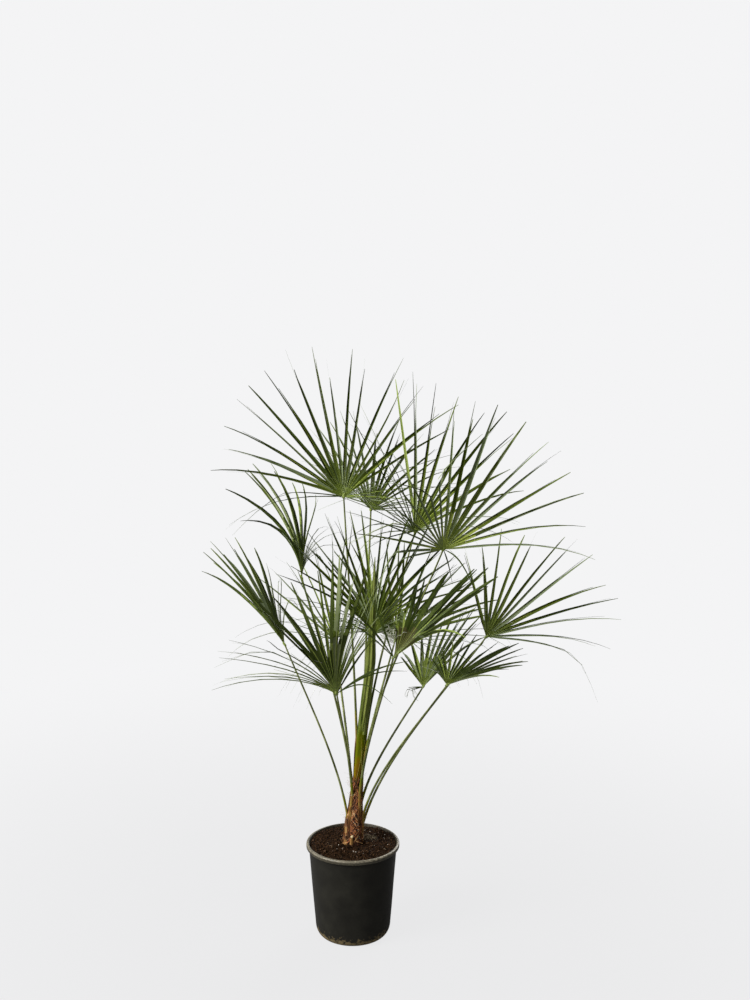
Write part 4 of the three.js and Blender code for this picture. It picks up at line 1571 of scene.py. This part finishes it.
        half_angle = np.abs(notch_angle[pairs] - fan.angle[:, None])
        spread = np.tan(np.radians(fan.gathered(half_angle, fan.near)))[..., None]
        rise_rate = self.rise_rate(fan)
        fold = np.radians(self.fold_near + (self.fold_far - self.fold_near) * smooth(beyond / 0.4))
        fold0 = math.radians(self.fold_near)
        split = source.uniform(*self.split_from, (count, 1, 1))
        parted = np.clip((beyond - split) / (1.0 - split), 0.0, 1.0)
        slim = np.where(minor[..., None], 1.0 - 0.45 * smooth(parted * 4.0), 1.0)
        strap = 1.0 - (1.0 - fan.frond.strap) * smooth(beyond / 0.15)
        fade = table(self.widths, beyond / ends) * slim * strap
        free_side = near * spread * fade * np.cos(fold) / math.cos(fold0)
        free_rise = near * rise_rate * fade * np.sin(fold) / math.sin(fold0)
        lateral = np.where(is_free, free_side, reach * spread)
        rise = np.where(is_free, free_rise, reach * rise_rate)
        part = source.uniform(*self.parting, (count, 1, 1)) * parted**1.3
        part = part * np.where(minor[..., None], 1.0, 0.2)
        lean = source.normal(0.0, self.lean, (count, 2, 1)) * parted**1.5 * minor[..., None]
        middle = middle + turned_side * (part * sign)[..., None] + turned_up * lean[..., None]

        thick = table(self.thickness, share)[..., None] * (1.0 - 0.35 * minor[..., None, None])
        bottom = middle - turned_up * (rise / 2.0)[..., None] - turned_side * sign[..., None] * 0.15
        top = bottom + turned_up * thick
        edge = bottom + turned_side * (lateral * sign)[..., None] + turned_up * rise[..., None]
        out, _, notch_up = fan.axes(fan.gathered(notch_angle[pairs][..., None], reach))
        shared = fan.hub + out * reach[..., None] + notch_up * (rise / 2.0)[..., None] + fan.bowed(reach)
        edge = np.where(is_free[None, None, :, None], edge, shared)

        keel = bottom + (edge - bottom) * self.rib_share
        crest = top + (edge - top) * self.rib_share
        ring = np.stack([bottom, keel, edge, crest, top], axis=3)
        rings = np.stack([ring[:, 0], ring[:, 1, :, ::-1]], axis=1)
        across = np.array([1.0, 1.0 - self.rib_share, 0.0, 1.0 - self.rib_share, 1.0])
        place = np.stack(np.broadcast_arrays(across, (reach * MM)[..., None]), axis=-1)
        kind = self.dealt(fan, source, minor, share)
        shape = (count * 2, len(free), 5)
        kind = kind.reshape(count * 2, -1, 5)
        return skin(rings.reshape(*shape, 3) * MM, kind, place.reshape(*shape, 2))

    def sag(self, fan: Fan, share: Array, total: Array) -> Array:
        """The hang of each leaflet: droop · length · share³ · (0.3 + its level share), down.

        Args:
            fan: The fan's rule.
            share: Share of the leaflet's length at each station.
            total: Length of each leaflet.

        Returns:
            How far each station moves.
        """
        ahead = fan.direction(fan.angle)
        level = fan.UPRIGHT_DROOP + np.sqrt(1.0 - ahead[:, 2] ** 2)
        fall = (fan.droop * level)[:, None, None] * total * share**3
        return -UP * fall[..., None]

    def kinks(
        self,
        fan: Fan,
        reach: Array,
        source: Generator,
        ahead: Array,
        side: Array,
    ) -> Array:
        """Bends a few slim leaflets down past a point: new direction = ahead cos b + down sin b.

        Args:
            fan: The fan's rule.
            reach: Distance of each station from the hub.
            source: Where the kinks are drawn.
            ahead: The leaflets' directions.
            side: The leaflets' sides.

        Returns:
            How far each station moves.
        """
        count = fan.count
        kinked = fan.slim[:, None, None] & (source.random((count, 1, 1)) < self.kink_chance)
        bend = np.where(kinked, source.uniform(*self.kink_turn, (count, 1, 1)), 0.0)[..., None]
        start = source.uniform(*self.kink_from, (count, 1, 1)) * fan.length[:, None, None]
        past = np.maximum(0.0, reach - start)[..., None]
        past = past**2 / (past + self.kink_ease)
        down = -UP + side * source.normal(0.0, 0.5, (count, 1, 1, 1))
        down = unit(down - ahead * np.sum(down * ahead, axis=-1, keepdims=True))
        return past * (ahead * (np.cos(bend) - 1.0) + down * np.sin(bend))

    def dealt(
        self, fan: Fan, source: Generator, minor: Array, share: Array
    ) -> Array:
        """Deals the finishes to the faces, leaflet by leaflet.

        Args:
            fan: The fan's rule.
            source: Where the finishes are drawn.
            minor: Which half of each leaflet is the narrow one.
            share: Share of the leaflet's length at each station.

        Returns:
            Finish numbers, (leaflets, 2, stations - 1, 5).
        """
        count = fan.count
        uppers = [Leaf.DEEP.value, Leaf.GREEN.value, Leaf.FRESH.value, Leaf.WAXY.value]
        chances, heart, pale_backs = fan.frond.tone.value
        upper = source.choice(uppers, (count, 2, 1), p=chances)
        slim = fan.slim[:, None, None]
        pale = slim & (source.random((count, 1, 1)) < self.pale_chance)
        waxy = minor[..., None] & (source.random((count, 1, 1)) < self.waxy_chance)
        upper = np.where(waxy | pale, Leaf.WAXY.value, upper)
        light = pale | (source.random((count, 1, 1)) < pale_backs)
        under = np.where(light, Leaf.UNDER_PALE.value, Leaf.UNDER.value)
        station = np.arange(share.shape[-1] - 1)
        inner = len(self.joined_shares) - 2
        upper = np.where((station < 2) & ~slim, heart.value, upper)
        if heart is Leaf.OLIVE:
            upper = np.where(station < inner, heart.value, upper)
            under = np.where(station < inner, heart.value, under)
        if heart is Leaf.RIB:
            striped = (source.random((count, 2, 1)) < self.stripe_chance) & (station <= inner + 1)
            upper = np.where(striped, heart.value, upper)
            under = np.where(striped, heart.value, under)
        under = np.broadcast_to(under, upper.shape)
        ribbed = ~slim & (share[..., 1:] < self.ribbed_to * source.uniform(0.6, 1.2, (count, 1, 1)))
        rib_under = np.where(ribbed, Leaf.RIB.value, under)
        rib_upper = np.where(ribbed, Leaf.RIB.value, upper)
        first = np.stack([rib_under, under, upper, rib_upper, upper], axis=-1)[:, 0]
        second = np.stack([rib_upper, upper, under, rib_under, upper], axis=-1)[:, 1]
        return np.stack([first, second], axis=1)

    def ribs(self, fan: Fan) -> Surface:
        """Raised ribs: one below each leaflet to half its length, one over each joined edge.

        Args:
            fan: The fan's rule.

        Returns:
            The ribs as one surface.
        """
        near = fan.near
        rise_rate = self.rise_rate(fan)
        stations = np.linspace(0.02, 1.0, 8)
        reach = stations * near * 1.25
        ahead, _, up = fan.axes(fan.gathered(fan.angle[:, None], reach))
        low = np.minimum(reach, near) * rise_rate / 2.0 + 0.1
        lifted = (fan.lift[:, None] * reach * 0.5)[..., None] * fan.normal
        under = fan.hub + ahead * reach[:, None] - up * low[:, None] + lifted
        under = under + fan.bowed(reach)
        thin = 1.0 - 0.7 * stations
        # Dark ribs for DEEP fans, and for SHADE fans as painted shade.
        kind = int(fan.frond.tone in (Tone.DEEP, Tone.SHADE))
        below = tubes(under, 0.95 * thin, 0.7 * thin, up, 5, kind)
        reach = stations * near * 0.72 * fan.depth[1:-1, None]
        out, _, over = fan.axes(fan.gathered(fan.notches()[1:-1, None], reach))
        raised = fan.hub + out * reach[..., None] + over * (reach * rise_rate / 2.0)[..., None]
        raised = raised + fan.bowed(reach)
        above = tubes(raised, 0.6 * thin, 0.5 * thin, over, 4, kind)
        return joined([below, above])

    def threads(self, fan: Fan, source: Generator) -> Surface:
        """Fine threads that hang from some notches.

        Args:
            fan: The fan's rule.
            source: Where the threads are drawn.

        Returns:
            The threads as one surface.
        """
        chosen = source.random(fan.count - 1) < self.thread_chance
        angle = fan.notches()[1:-1][chosen]
        count = len(angle)
        out, side, _ = (a[:, None, :] for a in fan.axes(angle))
        stations = shares(9)[:, None]
        length = source.uniform(*self.thread_length, (count, 1, 1))
        reach = fan.near * fan.depth[1:-1][chosen][:, None] * source.uniform(0.7, 0.9, (count, 1))
        start = fan.hub + out * reach[..., None] + fan.bowed(reach)
        sway = side * source.normal(0.0, 0.35, (count, 1, 1))
        curl = np.sin(stations * source.uniform(1.0, 7.0, (count, 1, 1))) * 0.11
        fall = source.uniform(0.15, 0.95, (count, 1, 1))
        ahead = out * (stations - 0.45 * fall * stations**2) - UP * fall * stations**2
        paths = start + length * (ahead + sway * stations + side * curl)
        thin = self.thread_width * (1.0 - 0.5 * stations[:, 0])
        return tubes(paths, thin, thin, UP + [0.2, 0.1, 0.0], 3)


@dataclass(frozen=True)
class Stalks:
    """Spined leaf stalks from the trunk to the hubs, and their worn bases on the trunk."""

    rise: float = 0.55
    bow: float = 0.2
    handle: float = 0.3
    foot_width: float = 3.9
    foot_depth: float = 3.1
    tip_width: float = 2.3
    tip_depth: float = 1.9
    set_back: float = 1.0
    steps: int = 26
    sides: int = 10
    spine_start: float = 12.0
    spine_gap: float = 13.0
    spine_length: Span = (2.0, 4.2)
    hub_length: float = 7.5
    hub_width: float = 4.6
    hub_depth: float = 3.0
    base_length: float = 120.0
    base_hug: Rows = ((0.0, 0.0), (0.3, 0.2), (1.0, -2.5))
    trunk_swell: float = 3.0
    sheath_swell: float = 1.0
    base_thinning: float = 1.5
    seed: int = 61

    def path(self, frond: Frond) -> tuple[Array, Array]:
        """The stalk's cubic curve from its foot to its hub, and its way out of the trunk.

        The curve is (1-t)³ a + 3(1-t)² t b + 3(1-t) t² c + t³ d, where a and d are its ends, b
        stands over the foot on a line part way to upright, and c before the hub on the arrival.

        Args:
            frond: The stalk's frond.

        Returns:
            The stations in millimetres, and the level direction out of the trunk.
        """
        out = outward(frond.foot_bearing)
        foot = beside(frond.foot, out, surface_radius(frond.foot))
        hub = np.array(frond.hub, float)
        span = np.linalg.norm(hub - foot)
        chord = unit(hub - foot)
        rise = unit(chord * (1.0 - self.rise) + UP * self.rise)
        arrive = unit(chord * (1.0 + self.bow) - rise * self.bow)
        end = hub - arrive * self.set_back
        t = shares(self.steps)[:, None]
        first = foot + rise * span * self.handle
        second = end - arrive * span * self.handle
        left = 1 - t
        curve = left**3 * foot + 3 * left**2 * t * first + 3 * left * t**2 * second + t**3 * end
        return curve, out

    def build(self) -> None:
        """Builds the stalks with spines and hubs as one piece for each, then their bases."""
        source = default_rng(self.seed)
        finishes = [STALK_GREEN, SPINE, HUB_GREEN]
        for frond in FRONDS:
            path, out = self.path(frond)
            share = shares(self.steps)
            wide = self.foot_width + (self.tip_width - self.foot_width) * share
            thick = self.foot_depth + (self.tip_depth - self.foot_depth) * share
            rod = tubes(path[None], wide, thick, out, self.sides)
            surface = joined([rod, self.spines(path, out, wide, source), self.knob(frond)])
            number = f"{frond.number:02d}"
            add_piece(f"leaf_stalk_{number}", surface, finishes, "stalk", f"stalk_{number}")
        self.bases()

    def spines(
        self, path: Array, out: Array, wide: Array, source: Generator
    ) -> Surface:
        """Small forward-pointing spines along both margins of a stalk's lower three quarters.

        Args:
            path: The stalk's stations.
            out: The level direction out of the trunk.
            wide: The stalk's half width at each station.
            source: Where the gaps and lengths are drawn.

        Returns:
            The spines as one surface.
        """
        steps = np.linalg.norm(np.diff(path, axis=0), axis=1)
        along = np.concatenate([[0.0], np.cumsum(steps)])
        count = int(along[-1] * 0.8 / self.spine_gap) * 2
        sign = np.where(np.arange(count) % 2 == 0, 1.0, -1.0)[:, None]
        spot = self.spine_start + np.arange(count) * self.spine_gap / 2.0
        spot = spot + source.uniform(-4.0, 4.0, count)
        centre, beyond = (
            np.stack([np.interp(place, along, line) for line in path.T], axis=1)
            for place in (spot, spot + 2.0)
        )
        forward = unit(beyond - centre)
        side = unit(np.cross(out, forward)) * sign
        root = centre + side * (np.interp(spot, along, wide)[:, None] - 0.5)
        shorter = 1.0 - 0.4 * spot[:, None] / along[-1]
        length = source.uniform(*self.spine_length, (count, 1)) * shorter
        stations = np.array([0.0, 0.5, 1.0])[None, :, None]
        heading = side[:, None] * 0.75 + forward[:, None] * 0.6 * stations
        paths = root[:, None] + heading * length[:, None] * stations
        thin = np.array([0.75, 0.4, 0.06])
        return tubes(paths, thin, thin, out, 4, 1)

    def knob(self, frond: Frond) -> Surface:
        """The hub: a small flattened bulb where the stalk meets the ribs.

        Args:
            frond: The hub's frond.

        Returns:
            The bulb as one surface.
        """
        fan = Fan(frond)
        turn = np.linspace(0.06, np.pi - 0.06, 8)
        along = -np.cos(turn) * self.hub_length + 1.0
        paths = fan.hub + fan.rib * along[:, None]
        swell = np.sin(turn)
        wide, thick = self.hub_width * swell, self.hub_depth * swell
        return tubes(paths[None], wide, thick, fan.normal, 10, 2)

    def bases(self) -> None:
        """Old ends of the stalks that run down the trunk, wider and browner towards the soil."""
        stations = shares(12)
        parts = []
        for frond in FRONDS:
            path, out = self.path(frond)
            low = max(frond.foot - self.base_length, SOIL_LEVEL + 2.0)
            height = frond.foot + (low - frond.foot) * stations
            twist = outward(frond.foot_bearing + 8.0 * stations)
            hug = table(self.base_hug, stations)
            down = beside(height, twist, surface_radius(height) + hug)
            line = np.concatenate([path[3:0:-1], down])
            share = np.concatenate([[0.0, 0.0, 0.0], stations])
            swell = self.trunk_swell if frond.foot < TRUNK_TOP else self.sheath_swell
            wide = self.foot_width + swell * smooth(share)
            thick = self.foot_depth - self.base_thinning * share
            parts.append(tubes(line[None], wide, thick, out, 12))
        add_piece("leaf_stalk_bases", joined(parts), [BASE_WORN], "cut_base", crease=60.0)


@dataclass(frozen=True)
class Fans:
    """All the fans: leaflets in place of the frond nodes, with ribs, threads and stray ends.

    Attributes:
        seed: What each fan's own seed is added to.
        snapped_on: Number of the frond with snapped leaflets.
        snapped_seed: Seed of their frayed threads.
        snapped_turns: Direction of each snapped leaflet in the upright plane, in degrees.
        snapped_lengths: Their lengths in millimetres.
        frays: How many frayed threads they have.
        tuft_on: Number of the frond with the pale tuft.
        tuft_seed: Seed of the tuft.
        tuft_threads: Threads in the tuft.
        tuft_angles: Angles of the leaflets that it hangs on.
        tuft_reach: How far from the hub its threads start.
        tuft_bearings: Bearings that they run along.
        tuft_length: Their lengths.
        stray_widths: Width of a stray leaflet by the share of its length.
        stray_depth: Half its thickness.
        stray_facing: Direction of its thin side.
    """

    seed: int = 700
    snapped_on: int = 10
    snapped_seed: int = 71
    snapped_turns: Point = (174.0, 182.0, 189.0)
    snapped_lengths: Point = (38.0, 42.0, 33.0)
    frays: int = 9
    tuft_on: int = 9
    tuft_seed: int = 67
    tuft_threads: int = 30
    tuft_angles: Span = (70.0, 84.0)
    tuft_reach: Span = (40.0, 95.0)
    tuft_bearings: Span = (165.0, 265.0)
    tuft_length: Span = (12.0, 44.0)
    stray_widths: Rows = ((0.0, 0.35), (0.3, 1.0), (0.6, 0.8), (1.0, 0.08))
    stray_depth: float = 0.3
    stray_facing: Point = (0.0, -1.0, 0.35)

    def build(self) -> None:
        """Builds the leaflets as one piece for each frond, and joins the ribs and the threads."""
        leaflets = Leaflets()
        finishes = [LEAF_FINISHES[leaf] for leaf in Leaf]
        ribs, threads = [], []
        for frond in FRONDS:
            fan = Fan(frond)
            source = default_rng(self.seed + frond.seed)
            number = f"{frond.number:02d}"
            surface = leaflets.shape(fan, source)
            if frond.number == self.snapped_on:
                surface = joined([surface, self.snapped(fan)])
            strays = [stray for stray in STRAYS if stray.frond == frond.number]
            if strays:
                surface = joined([surface, self.strayed(fan, strays)])
            add_piece(f"fan_{number}", surface, finishes, "blade", f"frond_{number}", crease=30.0)
            ribs.append(leaflets.ribs(fan))
            threads.append(leaflets.threads(fan, source))
            if frond.number == self.tuft_on:
                threads.append(self.tuft(fan))
        add_piece("fan_ribs", joined(ribs), [HUB_GREEN, LEAF_FINISHES[Leaf.GREEN]], "blade")
        add_piece("fan_threads", joined(threads), [THREAD_PALE], "blade")

    def strayed(self, fan: Fan, strays: list[Stray]) -> Surface:
        """Slim flat leaflets at hub + tip · t + arch · sin(πt), widest at a third of their length.

        Args:
            fan: The fan that they belong to.
            strays: The leaflets.

        Returns:
            The leaflets as one surface.
        """
        stations = shares(14)
        tips = np.array([stray.tip for stray in strays])[:, None]
        arch = np.array([stray.arch for stray in strays])[:, None] * np.sin(np.pi * stations)
        paths = fan.hub + tips * stations[:, None] + UP * arch[..., None]
        swell = table(self.stray_widths, stations)
        wide = np.array([stray.width for stray in strays])[:, None] * swell
        facing = np.array(self.stray_facing)
        return tubes(paths, wide, self.stray_depth * swell, facing, 6, Leaf.DEEP.value)

    def tuft(self, fan: Fan) -> Surface:
        """Pale curly threads at a fan's last leaflets: each runs along a line and winds round it.

        Args:
            fan: The fan that they hang on.

        Returns:
            The threads as one surface.
        """
        source = default_rng(self.tuft_seed)
        count = self.tuft_threads
        stations = shares(16)[:, None]
        leaflet = fan.direction(source.uniform(*self.tuft_angles, (count, 1)))
        root = fan.hub + leaflet * source.uniform(*self.tuft_reach, (count, 1, 1))
        heading = outward(source.uniform(*self.tuft_bearings, (count, 1))) + UP * 0.35
        heading = unit(heading + source.normal(0.0, 0.4, (count, 1, 3)))
        side = unit(np.cross(heading, UP))
        over = np.cross(heading, side)
        length = source.uniform(*self.tuft_length, (count, 1, 1))
        wound = stations * source.uniform(4.0, 13.0, (count, 1, 1))
        curl = side * np.sin(wound) + over * (np.cos(wound) - 1.0)
        loose = source.uniform(1.5, 4.5, (count, 1, 1)) * np.sqrt(stations)
        fall = UP * length * source.uniform(0.0, 0.5, (count, 1, 1)) * stations**2
        paths = root + heading * length * stations + curl * loose - fall
        thin = 0.62 * (1.0 - 0.4 * stations[:, 0])
        return tubes(paths, thin, thin, UP + [0.2, 0.1, 0.0], 4)

    def snapped(self, fan: Fan) -> Surface:
        """Leaflets snapped short, with frayed threads: flat tubes that run left from the hub.

        Args:
            fan: The fan that they belong to.

        Returns:
            The leaflets and the threads as one surface.
        """
        stations = shares(7)
        turn = np.radians(self.snapped_turns)[:, None]
        ahead = np.stack([np.cos(turn), np.full_like(turn, -0.25), np.sin(turn)], axis=-1)
        reach = np.array(self.snapped_lengths)[:, None, None]
        paths = fan.hub + ahead * reach * stations[:, None] - UP * (3.0 * stations**2)[:, None]
        wide = 1.4 + 2.2 * np.sin(np.pi * np.clip(stations * 1.15, 0.0, 1.0) ** 0.7)
        stubs = tubes(paths, wide, 0.6, UP, 6, Leaf.UNDER.value)
        source = default_rng(self.snapped_seed)
        count = self.frays
        ends = paths[source.integers(0, 3, count), source.integers(4, 7, count)][:, None]
        length = source.uniform(10.0, 30.0, (count, 1, 1))
        drop = length * (source.normal(0.0, 0.35, (count, 1, 3)) - UP)
        sway = np.sin(stations[:, None] * 3.0) * source.normal(0.0, 3.0, (count, 1, 3))
        lines = ends + drop * stations[:, None] + sway
        frayed = tubes(lines, 0.4, 0.4, UP + [0.3, 0.2, 0.0], 4, Leaf.UNDER_PALE.value)
        return joined([stubs, frayed])


@dataclass(frozen=True)
class Lamp:
    """A square soft light: its name, power in watts, and side and place in metres."""

    name: str
    power: float
    size: float
    place: Point

    def hang(self, aim: Point) -> None:
        """Hangs the light so that it faces a point.

        Args:
            aim: The point in metres.
        """
        data = bpy.data.lights.new(self.name, "AREA")
        data.energy = self.power
        data.size = self.size
        light = bpy.data.objects.new(self.name, data)
        light.location = self.place
        heading = Vector(aim) - Vector(self.place)
        light.rotation_euler = heading.to_track_quat("-Z", "Y").to_euler()
        bpy.context.scene.collection.objects.link(light)


@dataclass(frozen=True)
class Studio:
    """Plain pale floor, soft light and the camera, in metres."""

    camera_place: Point = (0.057, -2.879, 1.540)
    camera_tilt: float = 81.94
    lens: float = 28.2
    sensor: float = 24.0
    aim: Point = (0.05, 0.0, 0.7)
    lamps: tuple[Lamp, ...] = (
        Lamp("key light", 290.0, 2.1, (-3.5, -1.9, 2.9)),
        Lamp("back light", 150.0, 2.6, (2.0, 3.3, 2.3)),
    )
    fill: Span = (0.06, 1.1)
    fill_from: Point = (-0.8, -0.4, 0.55)
    fill_start: float = -0.4
    backdrop: str = "#f4f4f5"
    floor_tone: tuple[float, float, float, float] = (0.2, 0.2, 0.2, 1.0)
    floor_radius: float = 9.0
    floor_depth: float = 0.02
    floor_sides: int = 96
    ease_from: float = 0.25
    ease_to: float = 2.6
    ease_least: float = 0.86

    def build(self) -> None:
        """Makes the camera, the lights, the world and the floor."""
        self.set_camera()
        for lamp in self.lamps:
            lamp.hang(self.aim)
        self.set_world()
        self.lay_floor()
        bpy.context.scene.view_settings.view_transform = "Standard"

    def set_camera(self) -> None:
        """Stands the camera where the photograph was taken from."""
        data = bpy.data.cameras.new("camera")
        data.sensor_fit = "VERTICAL"
        data.sensor_height = self.sensor
        data.lens = self.lens
        camera = bpy.data.objects.new("camera", data)
        camera.location = self.camera_place
        camera.rotation_euler = (math.radians(self.camera_tilt), 0.0, 0.0)
        bpy.context.scene.collection.objects.link(camera)
        bpy.context.scene.camera = camera

    def set_world(self) -> None:
        """Gives the world an even tone for the camera, and a fill strongest from the upper left."""
        world = bpy.data.worlds.new("studio")
        world.use_nodes = True
        web = Web(world.node_tree)
        low, high = self.fill
        heading = {0: web.add("TexCoord", {}, "Generated"), 1: Vector(self.fill_from).normalized()}
        towards = web.add("VectorMath", heading, "Value", operation="DOT_PRODUCT")
        span = {"From Min": self.fill_start, "To Min": low, "To Max": high}
        strength = web.add("MapRange", {"Value": towards, **span})
        web.feed("Background", {"Color": (1.0, 1.0, 1.0, 1.0), "Strength": strength})
        soft = web.tree.nodes["Background"].outputs["Background"]
        pale = web.add("Background", {"Color": paint(self.backdrop)})
        seen = web.add("LightPath", {}, "Is Camera Ray")
        web.feed("World Output", {"Surface": web.add("MixShader", {"Fac": seen, 1: soft, 2: pale})})
        bpy.context.scene.world = world

    def lay_floor(self) -> None:
        """Lays a round pale floor whose far part has the backdrop's own tone."""
        profile = np.array([[0.01, 0.0], [self.floor_radius, 0.0]])
        low = profile - [0.0, self.floor_depth]
        body = turned(np.concatenate([low, profile[::-1]]), self.floor_sides)
        mesh = bpy.data.meshes.new("floor")
        mesh.from_pydata(body.points.tolist(), [], body.quads.tolist() + body.triangles.tolist())
        mesh.materials.append(self.floor_material())
        floor = bpy.data.objects.new("floor", mesh)
        bpy.context.scene.collection.objects.link(floor)

    def floor_material(self) -> bpy.types.Material:
        """Pale matt floor that eases into the backdrop's tone away from the plant.

        Returns:
            The material.
        """
        made = bpy.data.materials.new("floor")
        made.use_nodes = True
        web = Web(made.node_tree)
        matt = {"Base Color": self.floor_tone, "Roughness": 0.9, "Specular IOR Level": 0.1}
        web.feed("Principled BSDF", matt)
        matt = web.tree.nodes["Principled BSDF"].outputs["BSDF"]
        place = web.add("TexCoord", {}, "Object")
        reach = web.add("VectorMath", {0: place}, "Value", operation="LENGTH")
        span = {"From Min": self.ease_from, "From Max": self.ease_to, "To Min": self.ease_least}
        ease = web.add("MapRange", {"Value": reach, **span}, interpolation_type="SMOOTHSTEP")
        seen = web.add("LightPath", {}, "Is Camera Ray")
        share = web.add("Math", {0: ease, 1: seen}, operation="MULTIPLY")
        glow = web.add("Emission", {"Color": paint(self.backdrop)})
        mixed = web.add("MixShader", {"Fac": share, 1: matt, 2: glow})
        web.feed("Material Output", {"Surface": mixed})
        return made


def write_size() -> None:
    """Updates the view layer."""
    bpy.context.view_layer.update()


def main() -> None:
    """Builds the studio and the plant's pieces in order, from the pot to the fans."""
    logging.basicConfig(level=logging.INFO, format="%(message)s")
    for group in (Studio(), Pot(), Soil(), Trunk(), LeafBases(), Sheath(), Stalks(), Fans()):
        group.build()
    write_size()


if __name__ == "__main__":
    main()
